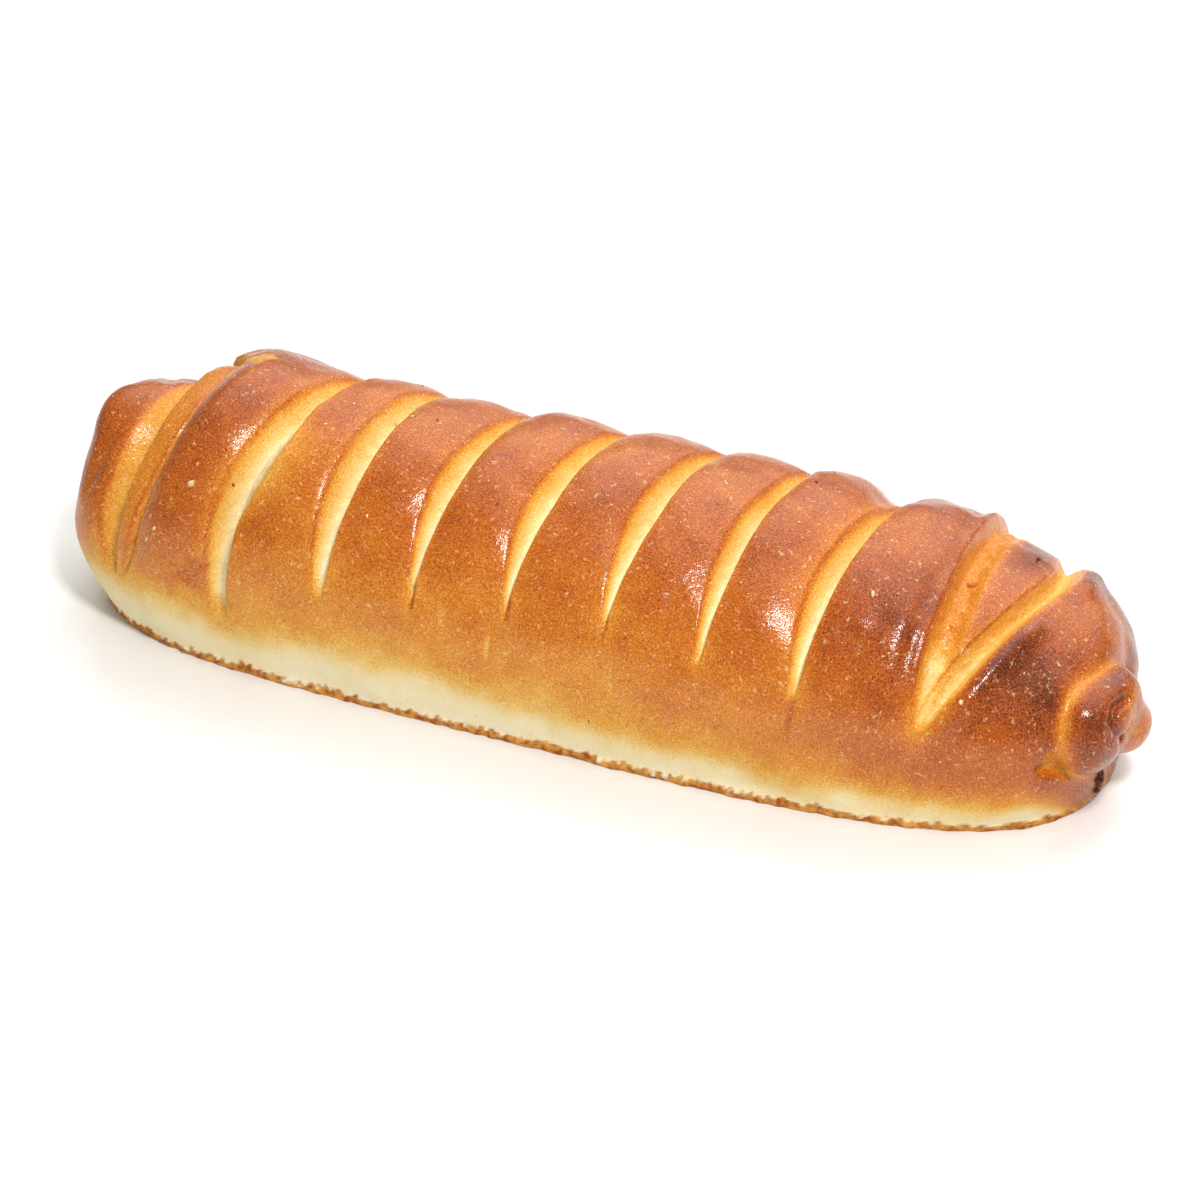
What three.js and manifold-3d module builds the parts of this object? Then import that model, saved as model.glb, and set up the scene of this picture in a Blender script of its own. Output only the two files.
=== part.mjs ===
// Sausage roll: a long soft bread roll baked round a sausage that stays hidden inside the dough.
// Seven slits are slashed across the crown. Near each end two more cuts leave one low tip as a fork, with
// a strip of the inner roll between them. At the right-hand end the inner roll comes out as a curled knob.
// Millimetres and degrees, +X along the roll towards the knob, +Z up, the flat base on Z = 0.
import * as THREE from "three";
import { mergeVertices } from "three/addons/utils/BufferGeometryUtils.js";
import Module from "manifold-3d";

// ---- Driving dimensions of the plain body ----
const HALF_LENGTH = 115;
const HALF_WIDTH = 37.2;
const HEIGHT = 51;
const AXIS_HEIGHT = 19; // the widest level of the section, where the roll's own axis runs
const FOOT_SHARE = 0.945; // width of the flat base as a share of the widest level
const END_UNDERCUT = { left: 0.235, right: 0.05 }; // how much of that share is lost at the very end
const END_POWER = { left: 4.2, right: 3.3 }; // the higher, the blunter the end
const WIDTH_TAPER = 0.09; // wider towards +X
const HEIGHT_TAPER = -0.13; // lower towards +X
const LIP = { reach: 0.5, height: 1.4 }; // the bottom crust stands a little proud of the side

// The surface is described on a map: u runs along the roll in millimetres, and phi round it in degrees,
// from 0 at the front through 90 at the crown to 180 at the back. Over the last END_RADIUS of each end
// the map's meridians fan out, and u goes on along the arc to the pole.
const CROWN = 90;
const BACK = 180;
const UNDER = -90;
const END_RADIUS = 32;
const STRAIGHT = HALF_LENGTH - END_RADIUS;
const U_POLE = STRAIGHT + (END_RADIUS * Math.PI) / 2;

// ---- Driving dimensions of the cuts ----
// Slits from left to right. at: u on the crown; slant: drift towards +X per millimetre towards the back;
// tip: phi of the front tip; width and depth where it is widest; blunt: share of them kept at the tip;
// bridge: the stretch of phi over which torn dough still spans the slit.
const SLITS = [
  {
    at: -59.4, slant: 0.29, backSlant: 0.2, tip: -9, width: 7, depth: 4.4, blunt: 0.6, bridge: [38, 70],
    west: { drop: 6.4, reach: 19 }, east: { drop: 1.4, reach: 8 },
  },
  { at: -42.3, slant: 0.125, tip: 9, width: 6.8, depth: 4.4, blunt: 0.35 },
  { at: -22, slant: 0.132, tip: 15, width: 6.2, depth: 4.4 },
  { at: -1.2, slant: 0.14, tip: 18, width: 6.6, depth: 4.4 },
  { at: 19.6, slant: 0.118, tip: 20, width: 6.3, depth: 4.6 },
  { at: 39.4, slant: 0.092, tip: 16, width: 5.4, depth: 4.6, blunt: 0.25 },
  { at: 60.7, slant: 0.12, tip: 12, width: 6.2, depth: 5.2, blunt: 0.3, west: { drop: 6.4, reach: 15 } },
];
// What a slit keeps unless it says otherwise. west and east: how the crust rounds down beside the cut.
const SLIT = {
  taper: 55, blunt: 0.12, westShare: 0.8, west: { drop: 4.4, reach: 14 }, east: { drop: 1.1, reach: 5 },
};

// Each fork has a straight arm like a slit and a bowed arm, which swings out by bow at the phi named peak
// and ends at the phi named close, where it has come back to the straight arm but for the drift.
const LEFT_FORK = {
  tip: -8,
  straight: {
    at: -93.3, slant: 0.15, backSlant: 0.05, width: 8.6, depth: 4.2, westShare: 0.82,
    west: { drop: 7.4, reach: 16 }, east: { drop: 1, reach: 4 },
  },
  bowed: {
    bow: 9.4, ease: 0.45, peak: 90, close: 124, drift: 0, width: 3.4, depth: 2.4, westShare: 0.75,
    west: { drop: 0.8, reach: 4 }, east: { drop: 0.3, reach: 4 },
  },
};
const RIGHT_FORK = {
  tip: 8,
  straight: {
    at: 80.9, slant: 0, width: 7, depth: 3.8, westShare: 0.25,
    west: { drop: 1.2, reach: 6 }, east: { drop: 0.3, reach: 12 },
  },
  bowed: {
    bow: 23, ease: 1.05, peak: 112, close: 172, drift: 28, width: 6.4, depth: 3.4, westShare: 0.82,
    west: { drop: 1, reach: 12 }, east: { drop: 0.3, reach: 4 },
  },
};
const ARM = { taper: 30, blunt: 0.35, leastGap: 0.8 };
const SHOULDER_TAPER = 60;
const BRIDGED = { wall: 2.4, depth: 0.5, fade: 12 }; // how much wider the east wall, and how much depth stays

// How far the middle of each strip of dough stands over the plain body, from the left end to the right.
const STRIP_LEVELS = [-1, -1.9, 3, 0.7, -0.6, -0.1, 0.3, 0.6, 0.9, 1.6, -1.6, -2.2];

// ---- Driving dimensions of single features ----
const CAP_RIDGE = { offset: 3.6, height: 1.6, width: 3.2, from: 8, to: 62 }; // beside the right bowed arm
const FOLDS = [
  { u: 76.6, lean: 0, height: -0.9, width: 1.6, from: 25, to: 80 }, // on the strip before the right fork
  { u: -105.4, lean: 0.14, height: -0.8, width: 1.4, from: 25, to: 76 }, // on the left end
];
const FOLD_MIDDLE = 60; // degrees up from the side, where a leaning fold crosses its own u
// Places where the dough rose a little more, or less, than its surroundings.
const SWELLINGS = [
  { u: -109.5, phi: 80, height: 1.9, across: 5, along: 18 },
  { u: -102.5, phi: 118, height: -2.2, across: 6, along: 22 },
  { u: -68, phi: 128, height: -2.4, across: 9, along: 25 },
  { u: -40, phi: 124, height: -1.1, across: 6, along: 22 },
  { u: 57, phi: 146, height: -2.8, across: 4, along: 28 },
  { u: 81, phi: 147, height: 3, across: 4, along: 22 },
  { u: 106, phi: 155, height: 0.9, across: 7, along: 25 },
];
// Three-cornered pocket below the knob, corners as [u, phi].
const POCKET = { corners: [[108, 7], [102.6, -9], [113, -23]], depth: 3, edge: 2.2 };
const MM_PER_DEGREE = 0.5; // round the roll, near the pocket

// The knob: a thick upright lobe, the curl that turns out behind it, and the dough that joins them.
const KNOB = {
  heart: [111.5, -9.5, 19],
  lobes: [
    { centre: [110.2, -14.2, 19.7], radii: [7.7, 9.1, 9.7] },
    { centre: [115.2, -3.6, 15.3], radii: [5.8, 6.4, 6] },
    { centre: [113.4, -7, 23], radii: [5.6, 7.5, 6] },
  ],
  blend: 4,
  crease: { path: [[115.8, -13.4, 27], [117.4, -13.6, 22], [118.4, -10, 16.5]], depth: 1.8, width: 1.7 },
};

// ---- Mesh density ----
const ROWS = 46;
const RIM_ROWS = [0, 0.006, 0.016]; // rows gather where the lip turns
const STRIP_STEPS = [0, 0.07, 0.16, 0.3, 0.46, 0.62, 0.74, 0.82, 0.91];
const LEFT_INNER_STEPS = [0, 0.2, 0.45, 0.7];
const RIGHT_INNER_STEPS = [0, 0.15, 0.32, 0.5, 0.64, 0.78, 0.9];
const LEFT_END_STEPS = [0, 0.2, 0.38, 0.5, 0.6, 0.7, 0.8, 0.9];
const RIGHT_END_STEPS = [0, 0.12, 0.25, 0.4, 0.6, 0.8];
const CAP_STEPS = [0, 0.3, 0.62];
const KNOB_SEGMENTS = [34, 22];
const HALVINGS = 34;
const MERGE_MM = 1e-4;

const radians = THREE.MathUtils.degToRad;
const { clamp, lerp, smoothstep } = THREE.MathUtils;
const quarterSine = (share) => Math.sin((Math.PI / 2) * clamp(share, 0, 1));

// The greatest value between low and high at which inside still holds.
function boundary(low, high, inside) {
  for (let step = 0; step < HALVINGS; step++) {
    const middle = (low + high) / 2;
    if (inside(middle)) low = middle;
    else high = middle;
  }
  return low;
}

// ---- The plain body ----

// 1 on the plain body's surface, less inside.
function bodyLevel(p) {
  const along = p.x / HALF_LENGTH;
  const side = along < 0 ? "left" : "right";
  const halfWidth = HALF_WIDTH * (1 + WIDTH_TAPER * along);
  const above = (HEIGHT - AXIS_HEIGHT) * (1 + HEIGHT_TAPER * along);
  const foot = FOOT_SHARE - END_UNDERCUT[side] * Math.min(Math.abs(along), 1) ** 8;
  const below = AXIS_HEIGHT / Math.sqrt(1 - foot ** 2);
  const rise = p.z - AXIS_HEIGHT;
  const across = Math.hypot(p.y / halfWidth, rise > 0 ? rise / above : rise / below);
  const power = END_POWER[side];
  return (across ** power + Math.abs(along) ** power) ** (1 / power);
}

// The ray that leaves the roll's axis at (u, phi).
function rayAt(u, phi) {
  const fan = (Math.sign(u) * clamp(Math.abs(u) - STRAIGHT, 0, U_POLE - STRAIGHT)) / END_RADIUS;
  const turn = radians(phi);
  const start = new THREE.Vector3(clamp(u, -STRAIGHT, STRAIGHT), 0, AXIS_HEIGHT);
  const way = new THREE.Vector3(
    Math.sin(fan),
    -Math.cos(fan) * Math.cos(turn),
    Math.cos(fan) * Math.sin(turn),
  );
  return new THREE.Ray(start, way);
}

// Distance from the axis to the plain body, or to the floor, along the ray.
function reachOf(ray) {
  const p = new THREE.Vector3();
  return boundary(0, 1.5 * HALF_LENGTH, (distance) => {
    ray.at(distance, p);
    return bodyLevel(p) < 1 && p.z > 0;
  });
}

const plainPoint = (u, phi) => {
  const ray = rayAt(u, phi);
  return ray.at(reachOf(ray), new THREE.Vector3());
};

// The phi at which the front side meets the floor, and the u past which the end closes above the floor.
const onFloor = (p) => p.z < 1e-3;
const footPhi = (u) => boundary(UNDER, 0, (phi) => onFloor(plainPoint(u, phi)));
const footEnd = (side) => side * boundary(STRAIGHT, U_POLE, (u) => onFloor(plainPoint(side * u, UNDER)));

// ---- Cuts ----

// A straight cut's line on the map.
function slantedLine({ at, slant, backSlant = slant, tip }, phi) {
  const turn = clamp(phi, tip, BACK - tip);
  return at - (turn < CROWN ? slant : backSlant) * HALF_WIDTH * Math.cos(radians(turn));
}

function slitCut(slit) {
  return { ...SLIT, ...slit, close: BACK - slit.tip, line: (phi) => slantedLine(slit, phi) };
}

function forkCuts({ tip, straight, bowed }) {
  const line = (phi) => slantedLine({ ...straight, tip }, phi);
  const bowedLine = (phi) => {
    const front = (phi - tip) / (bowed.peak - tip);
    const back = (bowed.close + bowed.drift - phi) / (bowed.close + bowed.drift - bowed.peak);
    return line(phi) + ARM.leastGap + bowed.bow * quarterSine(Math.min(front, back)) ** bowed.ease;
  };
  return [
    { ...ARM, ...straight, tip, close: BACK - tip, line },
    { ...ARM, ...bowed, tip, line: bowedLine },
  ];
}

const CUTS = [...forkCuts(LEFT_FORK), ...SLITS.map(slitCut), ...forkCuts(RIGHT_FORK)];
const cutLines = (phi) => CUTS.map((cut) => cut.line(phi));

// 0 at a cut's tips, 1 where it has opened fully.
const opening = (cut, phi, taper) => quarterSine(Math.min(phi - cut.tip, cut.close - phi) / taper);

// 1 where torn dough still spans a slit, 0 where it is open.
function bridged({ bridge }, phi) {
  if (!bridge) return 0;
  const [from, to] = bridge;
  const { fade } = BRIDGED;
  return smoothstep(phi, from - fade, from + fade) * (1 - smoothstep(phi, to - fade, to + fade));
}

// Share of its depth that a cut reaches at q from its line, with walls of the widths west and east.
function cutShare(q, west, east) {
  const share = Math.abs(q) / (q < 0 ? west : east);
  const soft = 0.16;
  const raw = 1 - share ** 1.35;
  return Math.max(0, (raw + Math.hypot(raw, soft)) / 2 - (soft / 4) * share);
}

function cutDepth(cut, u, phi) {
  const q = u - cut.line(phi);
  const side = q < 0 ? cut.west : cut.east;
  const rounding = side.drop * clamp(1 - Math.abs(q) / side.reach, 0, 1) ** 2;
  const open = opening(cut, phi, cut.taper);
  const span = bridged(cut, phi);
  const width = cut.width * lerp(cut.blunt, 1, open);
  const eastWall = width * (1 - cut.westShare) * lerp(1, BRIDGED.wall, span);
  const depth = cut.depth * open ** 0.6 * lerp(1, BRIDGED.depth, span);
  return rounding * opening(cut, phi, SHOULDER_TAPER) + depth * cutShare(q, width * cut.westShare, eastWall);
}

// ---- Relief over the plain body ----

// Degrees from the nearer side up to phi, alike at the front and the back.
const upFromSide = (phi) => CROWN - Math.abs(phi - CROWN);

function stripLevel(u, phi) {
  const lines = [-U_POLE, ...cutLines(phi), U_POLE];
  const last = STRIP_LEVELS.length - 1;
  const strip = clamp(lines.filter((line) => line <= u).length - 1, 0, last);
  const share = (u - lines[strip]) / (lines[strip + 1] - lines[strip]);
  const position = clamp(strip + share - 0.5, 0, last);
  const west = Math.min(Math.floor(position), last - 1);
  const blend = smoothstep(position - west, 0.2, 0.8);
  return lerp(STRIP_LEVELS[west], STRIP_LEVELS[west + 1], blend) * smoothstep(upFromSide(phi), -8, 47);
}

// A ridge (positive height) or crease (negative) along a line of the map, between two values of phi.
function ridgeHeight({ height, width, from, to }, u, line, phi) {
  const up = upFromSide(phi);
  const ends = smoothstep(up, from - 8, from + 12) * (1 - smoothstep(up, to - 8, to + 12));
  return height * ends * Math.exp(-(((u - line) / width) ** 2));
}

function foldHeight(fold, u, phi) {
  return ridgeHeight(fold, u, fold.u + fold.lean * (upFromSide(phi) - FOLD_MIDDLE), phi);
}

function swellingHeight({ u, phi, height, across, along }, atU, atPhi) {
  return height * Math.exp(-(((atU - u) / across) ** 2) - ((atPhi - phi) / along) ** 2);
}

function pocketDepth(u, phi) {
  const corners = POCKET.corners.map(([cu, cphi]) => [cu, cphi * MM_PER_DEGREE]);
  const inside = corners.map(([x, y], i) => {
    const [nextX, nextY] = corners[(i + 1) % corners.length];
    const side = [nextX - x, nextY - y];
    return ((phi * MM_PER_DEGREE - y) * side[0] - (u - x) * side[1]) / Math.hypot(...side);
  });
  return POCKET.depth * smoothstep(Math.min(...inside), 0, POCKET.edge);
}

function relief(u, phi) {
  const ridgeLine = CUTS.at(-1).line(phi) + CAP_RIDGE.offset;
  let height = stripLevel(u, phi) - pocketDepth(u, phi) + ridgeHeight(CAP_RIDGE, u, ridgeLine, phi);
  for (const cut of CUTS) height -= cutDepth(cut, u, phi);
  for (const fold of FOLDS) height += foldHeight(fold, u, phi);
  for (const swelling of SWELLINGS) height += swellingHeight(swelling, u, phi);
  return height;
}

// ---- The body's mesh ----

function bodyPoint(u, phi, onRim) {
  const ray = rayAt(u, phi);
  const p = ray.at(reachOf(ray) + (onRim ? 0 : relief(u, phi)), new THREE.Vector3());
  const out = new THREE.Vector3(p.x - ray.origin.x, p.y, 0).normalize();
  p.addScaledVector(out, LIP.reach * (1 - smoothstep(p.z, LIP.height, 2 * LIP.height)));
  p.z = onRim ? 0 : Math.max(p.z, LIP.height / 3);
  return p;
}

// The map's guide lines at phi, and the steps that divide the strip to the right of each.
const FOOT_ENDS = [footEnd(-1), footEnd(1)];
const guideLines = (phi) => [-U_POLE, FOOT_ENDS[0], ...cutLines(phi), FOOT_ENDS[1], U_POLE];
const GUIDE_STEPS = [
  CAP_STEPS,
  LEFT_END_STEPS,
  LEFT_INNER_STEPS,
  ...Array(SLITS.length + 1).fill(STRIP_STEPS),
  RIGHT_INNER_STEPS,
  RIGHT_END_STEPS,
  CAP_STEPS,
];

// The u of every column at phi, without the two poles.
function columnsAt(phi) {
  const lines = guideLines(phi);
  const stepsIn = (shares, i) => shares.map((share) => lerp(lines[i], lines[i + 1], share));
  return GUIDE_STEPS.flatMap(stepsIn).slice(1);
}

function rowShare(row) {
  const rim = RIM_ROWS.length;
  if (row < rim) return RIM_ROWS[row];
  if (row > ROWS - rim) return 1 - RIM_ROWS[ROWS - row];
  return lerp(RIM_ROWS[rim - 1], 1 - RIM_ROWS[rim - 1], (row - rim + 1) / (ROWS - 2 * rim + 2));
}

function bodyGeometry() {
  const feet = columnsAt(UNDER).map(footPhi);
  const points = [];
  feet.forEach((foot, column) => {
    const closed = foot < UNDER + 0.01;
    for (let row = 0; row <= ROWS; row++) {
      const phi = lerp(foot, BACK - foot, rowShare(row));
      const rim = row === 0 || row === ROWS;
      // A closed column's first and last rows are one point under the end.
      const turn = rim && closed ? UNDER : phi;
      const u = columnsAt(turn)[column];
      points.push(bodyPoint(u, turn, rim && (!closed || FOOT_ENDS.includes(u))));
    }
  });
  const west = points.push(bodyPoint(-U_POLE, 0, false)) - 1;
  const east = points.push(bodyPoint(U_POLE, 0, false)) - 1;

  const id = (column, row) => column * (ROWS + 1) + row;
  const last = feet.length - 1;
  const faces = [];
  const addQuad = (a, b, c, d) => faces.push(a, b, c, a, c, d);
  for (let column = 0; column < last; column++) {
    for (let row = 0; row < ROWS; row++)
      addQuad(id(column, row), id(column + 1, row), id(column + 1, row + 1), id(column, row + 1));
    // The flat base spans from the back rim to the front rim.
    addQuad(id(column, ROWS), id(column + 1, ROWS), id(column + 1, 0), id(column, 0));
  }
  for (let row = 0; row < ROWS; row++) {
    faces.push(west, id(0, row), id(0, row + 1));
    faces.push(east, id(last, row + 1), id(last, row));
  }
  return new THREE.BufferGeometry().setFromPoints(points).setIndex(faces);
}

// ---- The knob ----

// Roughly the distance in millimetres from p to a lobe's surface, less than 0 inside.
function lobeDistance({ centre, radii }, p) {
  const q = p.clone().sub(new THREE.Vector3(...centre)).divide(new THREE.Vector3(...radii));
  const length = q.length();
  return (length * (length - 1)) / q.divide(new THREE.Vector3(...radii)).length();
}

// The lobes run into each other over the blend distance.
function knobDistance(p) {
  return KNOB.lobes
    .map((lobe) => lobeDistance(lobe, p))
    .reduce((a, b) => Math.min(a, b) - Math.max(KNOB.blend - Math.abs(a - b), 0) ** 2 / (4 * KNOB.blend));
}

function creaseDepth(p) {
  const { path, depth, width } = KNOB.crease;
  const corners = path.map((corner) => new THREE.Vector3(...corner));
  const nearest = new THREE.Vector3();
  const away = corners.slice(1).map((end, i) => {
    new THREE.Line3(corners[i], end).closestPointToPoint(p, true, nearest);
    return nearest.distanceTo(p);
  });
  return depth * Math.exp(-((Math.min(...away) / width) ** 2));
}

function knobGeometry() {
  const geometry = new THREE.SphereGeometry(1, ...KNOB_SEGMENTS).rotateX(Math.PI / 2);
  const position = geometry.attributes.position;
  const heart = new THREE.Vector3(...KNOB.heart);
  const p = new THREE.Vector3();
  for (let i = 0; i < position.count; i++) {
    const ray = new THREE.Ray(heart, new THREE.Vector3().fromBufferAttribute(position, i).normalize());
    const reach = boundary(0, 30, (distance) => knobDistance(ray.at(distance, p)) < 0);
    ray.at(reach - creaseDepth(ray.at(reach, p)), p);
    position.setXYZ(i, p.x, p.y, p.z);
  }
  return geometry;
}

// ---- Joining ----
const wasm = await Module();
wasm.setup();

function solidOf(geometry) {
  geometry.deleteAttribute("normal");
  geometry.deleteAttribute("uv");
  const merged = mergeVertices(geometry, MERGE_MM);
  const index = [];
  for (let i = 0; i < merged.index.count; i += 3) {
    const [a, b, c] = [0, 1, 2].map((k) => merged.index.getX(i + k));
    if (a !== b && b !== c && c !== a) index.push(a, b, c);
  }
  return new wasm.Manifold(
    new wasm.Mesh({
      numProp: 3,
      vertProperties: merged.attributes.position.array,
      triVerts: new Uint32Array(index),
    }),
  );
}

function geometryOf(solid) {
  const mesh = solid.getMesh();
  return new THREE.BufferGeometry()
    .setAttribute("position", new THREE.BufferAttribute(mesh.vertProperties, mesh.numProp))
    .setIndex(new THREE.BufferAttribute(mesh.triVerts, 1));
}

const crust = new THREE.MeshStandardMaterial({ color: 0xc9762f, roughness: 0.42, metalness: 0 });
const dough = solidOf(bodyGeometry()).add(solidOf(knobGeometry()));
const roll = new THREE.Mesh(geometryOf(dough), crust);
roll.name = "sausage_roll";

const part = new THREE.Group();
part.add(roll);

export default part;
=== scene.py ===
"""A long slashed bread roll, baked round a sausage that stays hidden inside it, on a white table.

The roll is described on a map of its surface. u runs along the roll in millimetres, and phi runs round it
in degrees, from 0 at the front through 90 at the crown to 180 at the back. The plain body gives a point for
every (u, phi), and the cuts, strips, folds and tears move that point in or out. The same map carries the
baking: how brown the dough is at each point.
"""

from __future__ import annotations

import logging
import math
from collections.abc import Callable
from dataclasses import dataclass
from enum import Enum
from functools import partial

import bmesh
import bpy
import numpy as np
from mathutils import Matrix, Vector
from mathutils.kdtree import KDTree


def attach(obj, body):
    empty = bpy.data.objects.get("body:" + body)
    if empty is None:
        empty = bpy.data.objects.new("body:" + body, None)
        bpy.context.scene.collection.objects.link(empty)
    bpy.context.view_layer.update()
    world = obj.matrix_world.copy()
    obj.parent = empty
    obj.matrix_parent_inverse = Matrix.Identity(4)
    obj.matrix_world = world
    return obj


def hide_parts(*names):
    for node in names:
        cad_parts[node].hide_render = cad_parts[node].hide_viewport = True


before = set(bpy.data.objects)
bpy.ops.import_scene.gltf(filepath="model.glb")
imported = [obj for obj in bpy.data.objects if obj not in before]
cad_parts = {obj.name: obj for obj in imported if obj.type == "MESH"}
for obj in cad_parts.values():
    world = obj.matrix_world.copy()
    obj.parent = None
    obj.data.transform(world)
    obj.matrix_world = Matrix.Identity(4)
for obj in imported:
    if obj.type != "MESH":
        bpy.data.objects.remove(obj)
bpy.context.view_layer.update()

LOG = logging.getLogger("sausage_roll")
MM = 0.001
CROWN = 90.0
BACK = 180.0
UNDER = -90.0
HALVINGS = 30
TOUCHING = 1e-3
Array = np.ndarray
Socket = bpy.types.NodeSocket


# ---- Shared arithmetic ----


def smoothstep(value: Array, low: float, high: float) -> Array:
    """Ease from 0 at low to 1 at high.

    Args:
        value: where to read the step.
        low: end of the zeros.
        high: start of the ones.

    Returns:
        The eased share, of the same shape as value.
    """
    share = np.clip((value - low) / (high - low), 0, 1)
    return share * share * (3 - 2 * share)


def mix(first: Array, second: Array, share: Array) -> Array:
    """Blend two values.

    Args:
        first: the value at share 0.
        second: the value at share 1.
        share: how much of the second value is taken.

    Returns:
        The blended value.
    """
    return first + (second - first) * share


def quarter_sine(share: Array) -> Array:
    """Return the rise of a sine from 0 to 1 as share goes from 0 to 1."""
    return np.sin(np.pi / 2 * np.clip(share, 0, 1))


def boundary(low: Array, high: Array, inside: Callable[[Array], Array]) -> Array:
    """Find where a test stops holding, by halving.

    Args:
        low: values at which the test holds.
        high: values at which it doesn't.
        inside: turns an array of values into an array of booleans.

    Returns:
        The greatest values at which the test still holds.
    """
    low, high = low.copy(), high.copy()
    for _ in range(HALVINGS):
        middle = (low + high) / 2
        held = inside(middle)
        low, high = np.where(held, middle, low), np.where(held, high, middle)
    return low


def nearest_on_path(points: Array, path: Array) -> Array:
    """Measure how far points lie from a path of straight pieces.

    Args:
        points: N x 3 positions.
        path: K x 3 corners of the path.

    Returns:
        N distances.
    """
    away = np.full(len(points), np.inf)
    for start, end in zip(path[:-1], path[1:]):
        along = np.clip((points - start) @ (end - start) / ((end - start) @ (end - start)), 0, 1)
        away = np.minimum(away, np.linalg.norm(points - start - along[:, None] * (end - start), axis=1))
    return away


def search_tree(points: Array) -> KDTree:
    """Return a tree that finds the nearest of these points."""
    tree = KDTree(len(points))
    for index, point in enumerate(points):
        tree.insert(point, index)
    tree.balance()
    return tree


@dataclass(frozen=True)
class Unevenness:
    """Seeded smooth random waves, for dough that is never quite even."""

    wavelength: float
    seed: int
    waves: int = 40

    def at(self, points: Array) -> Array:
        """Read the waves.

        Args:
            points: positions in millimetres, along the last axis.

        Returns:
            A value round 0, mostly between -1 and 1, for each position.
        """
        random = np.random.default_rng(self.seed)
        ways = random.normal(size=(self.waves, 3))
        ways /= np.linalg.norm(ways, axis=1, keepdims=True)
        lengths = self.wavelength * random.uniform(0.7, 1.5, size=(self.waves, 1))
        phases = random.uniform(0, 2 * np.pi, self.waves)
        heights = np.sin(points @ (ways * 2 * np.pi / lengths).T + phases)
        return heights.sum(axis=-1) / math.sqrt(self.waves)


# ---- The plain body ----


@dataclass(frozen=True)
class PlainBody:
    """The roll without its cuts: a blunt-ended half-round loaf on a flat base. Sizes in millimetres."""

    half_length: float = 115.0
    half_width: float = 37.2
    height: float = 51.0
    axis_height: float = 19.0
    foot_share: float = 0.945
    left_undercut: float = 0.235
    right_undercut: float = 0.05
    left_power: float = 4.2
    right_power: float = 3.3
    width_taper: float = 0.09
    height_taper: float = -0.13
    end_radius: float = 32.0

    @property
    def straight(self) -> float:
        """Half the length over which the map's meridians stay parallel."""
        return self.half_length - self.end_radius

    @property
    def pole(self) -> float:
        """The u of the poles, where the meridians meet."""
        return self.straight + self.end_radius * np.pi / 2

    def level(self, points: Array) -> Array:
        """Return 1 for points on the surface and less for points inside."""
        x, y, z = np.moveaxis(points, -1, 0)
        along = x / self.half_length
        left = along < 0
        half_width = self.half_width * (1 + self.width_taper * along)
        above = (self.height - self.axis_height) * (1 + self.height_taper * along)
        undercut = np.where(left, self.left_undercut, self.right_undercut)
        foot = self.foot_share - undercut * np.minimum(np.abs(along), 1) ** 8
        below = self.axis_height / np.sqrt(1 - foot**2)
        rise = z - self.axis_height
        across = np.hypot(y / half_width, np.where(rise > 0, rise / above, rise / below))
        power = np.where(left, self.left_power, self.right_power)
        return (across**power + np.abs(along) ** power) ** (1 / power)

    def rays(self, u: Array, phi: Array) -> tuple[Array, Array]:
        """Lay out the rays that leave the roll's axis.

        Args:
            u: map position along the roll.
            phi: map angle round it, in degrees.

        Returns:
            The rays' starts and their unit directions.
        """
        fan = np.sign(u) * np.clip(np.abs(u) - self.straight, 0, self.pole - self.straight) / self.end_radius
        turn = np.radians(phi)
        x = np.clip(u, -self.straight, self.straight)
        start = np.stack([x, np.zeros_like(x), np.full_like(x, self.axis_height)], -1)
        way = np.stack([np.sin(fan), -np.cos(fan) * np.cos(turn), np.cos(fan) * np.sin(turn)], -1)
        return start, way

    def reach(self, start: Array, way: Array) -> Array:
        """Return each ray's distance to the plain body or to the table."""

        def inside(distance: Array) -> Array:
            """Tell whether the rays are still in the dough at these distances."""
            points = start + way * distance[..., None]
            return (self.level(points) < 1) & (points[..., 2] > 0)

        near = np.zeros(way.shape[:-1])
        return boundary(near, near + 1.5 * self.half_length, inside)

    def points(self, u: Array, phi: Array) -> Array:
        """Return the plain surface's points at (u, phi)."""
        start, way = self.rays(u, phi)
        return start + way * self.reach(start, way)[..., None]

    def foot_phi(self, u: Array) -> Array:
        """Return the phi at which the front side meets the table, or UNDER past the base's ends."""
        low = np.full_like(u, UNDER)
        return boundary(low, np.zeros_like(u), lambda phi: self.points(u, phi)[..., 2] < TOUCHING)

    def foot_end(self, side: int) -> float:
        """Return the u past which the end closes above the table, on side -1 or 1."""
        low, high = np.array([self.straight]), np.array([self.pole])
        under = np.array([UNDER])
        return float(side * boundary(low, high, lambda u: self.points(side * u, under)[..., 2] < TOUCHING)[0])


# ---- Cuts ----


@dataclass(frozen=True)
class Shoulder:
    """How the crust rounds down towards a cut on one side of it."""

    drop: float
    reach: float


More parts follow.
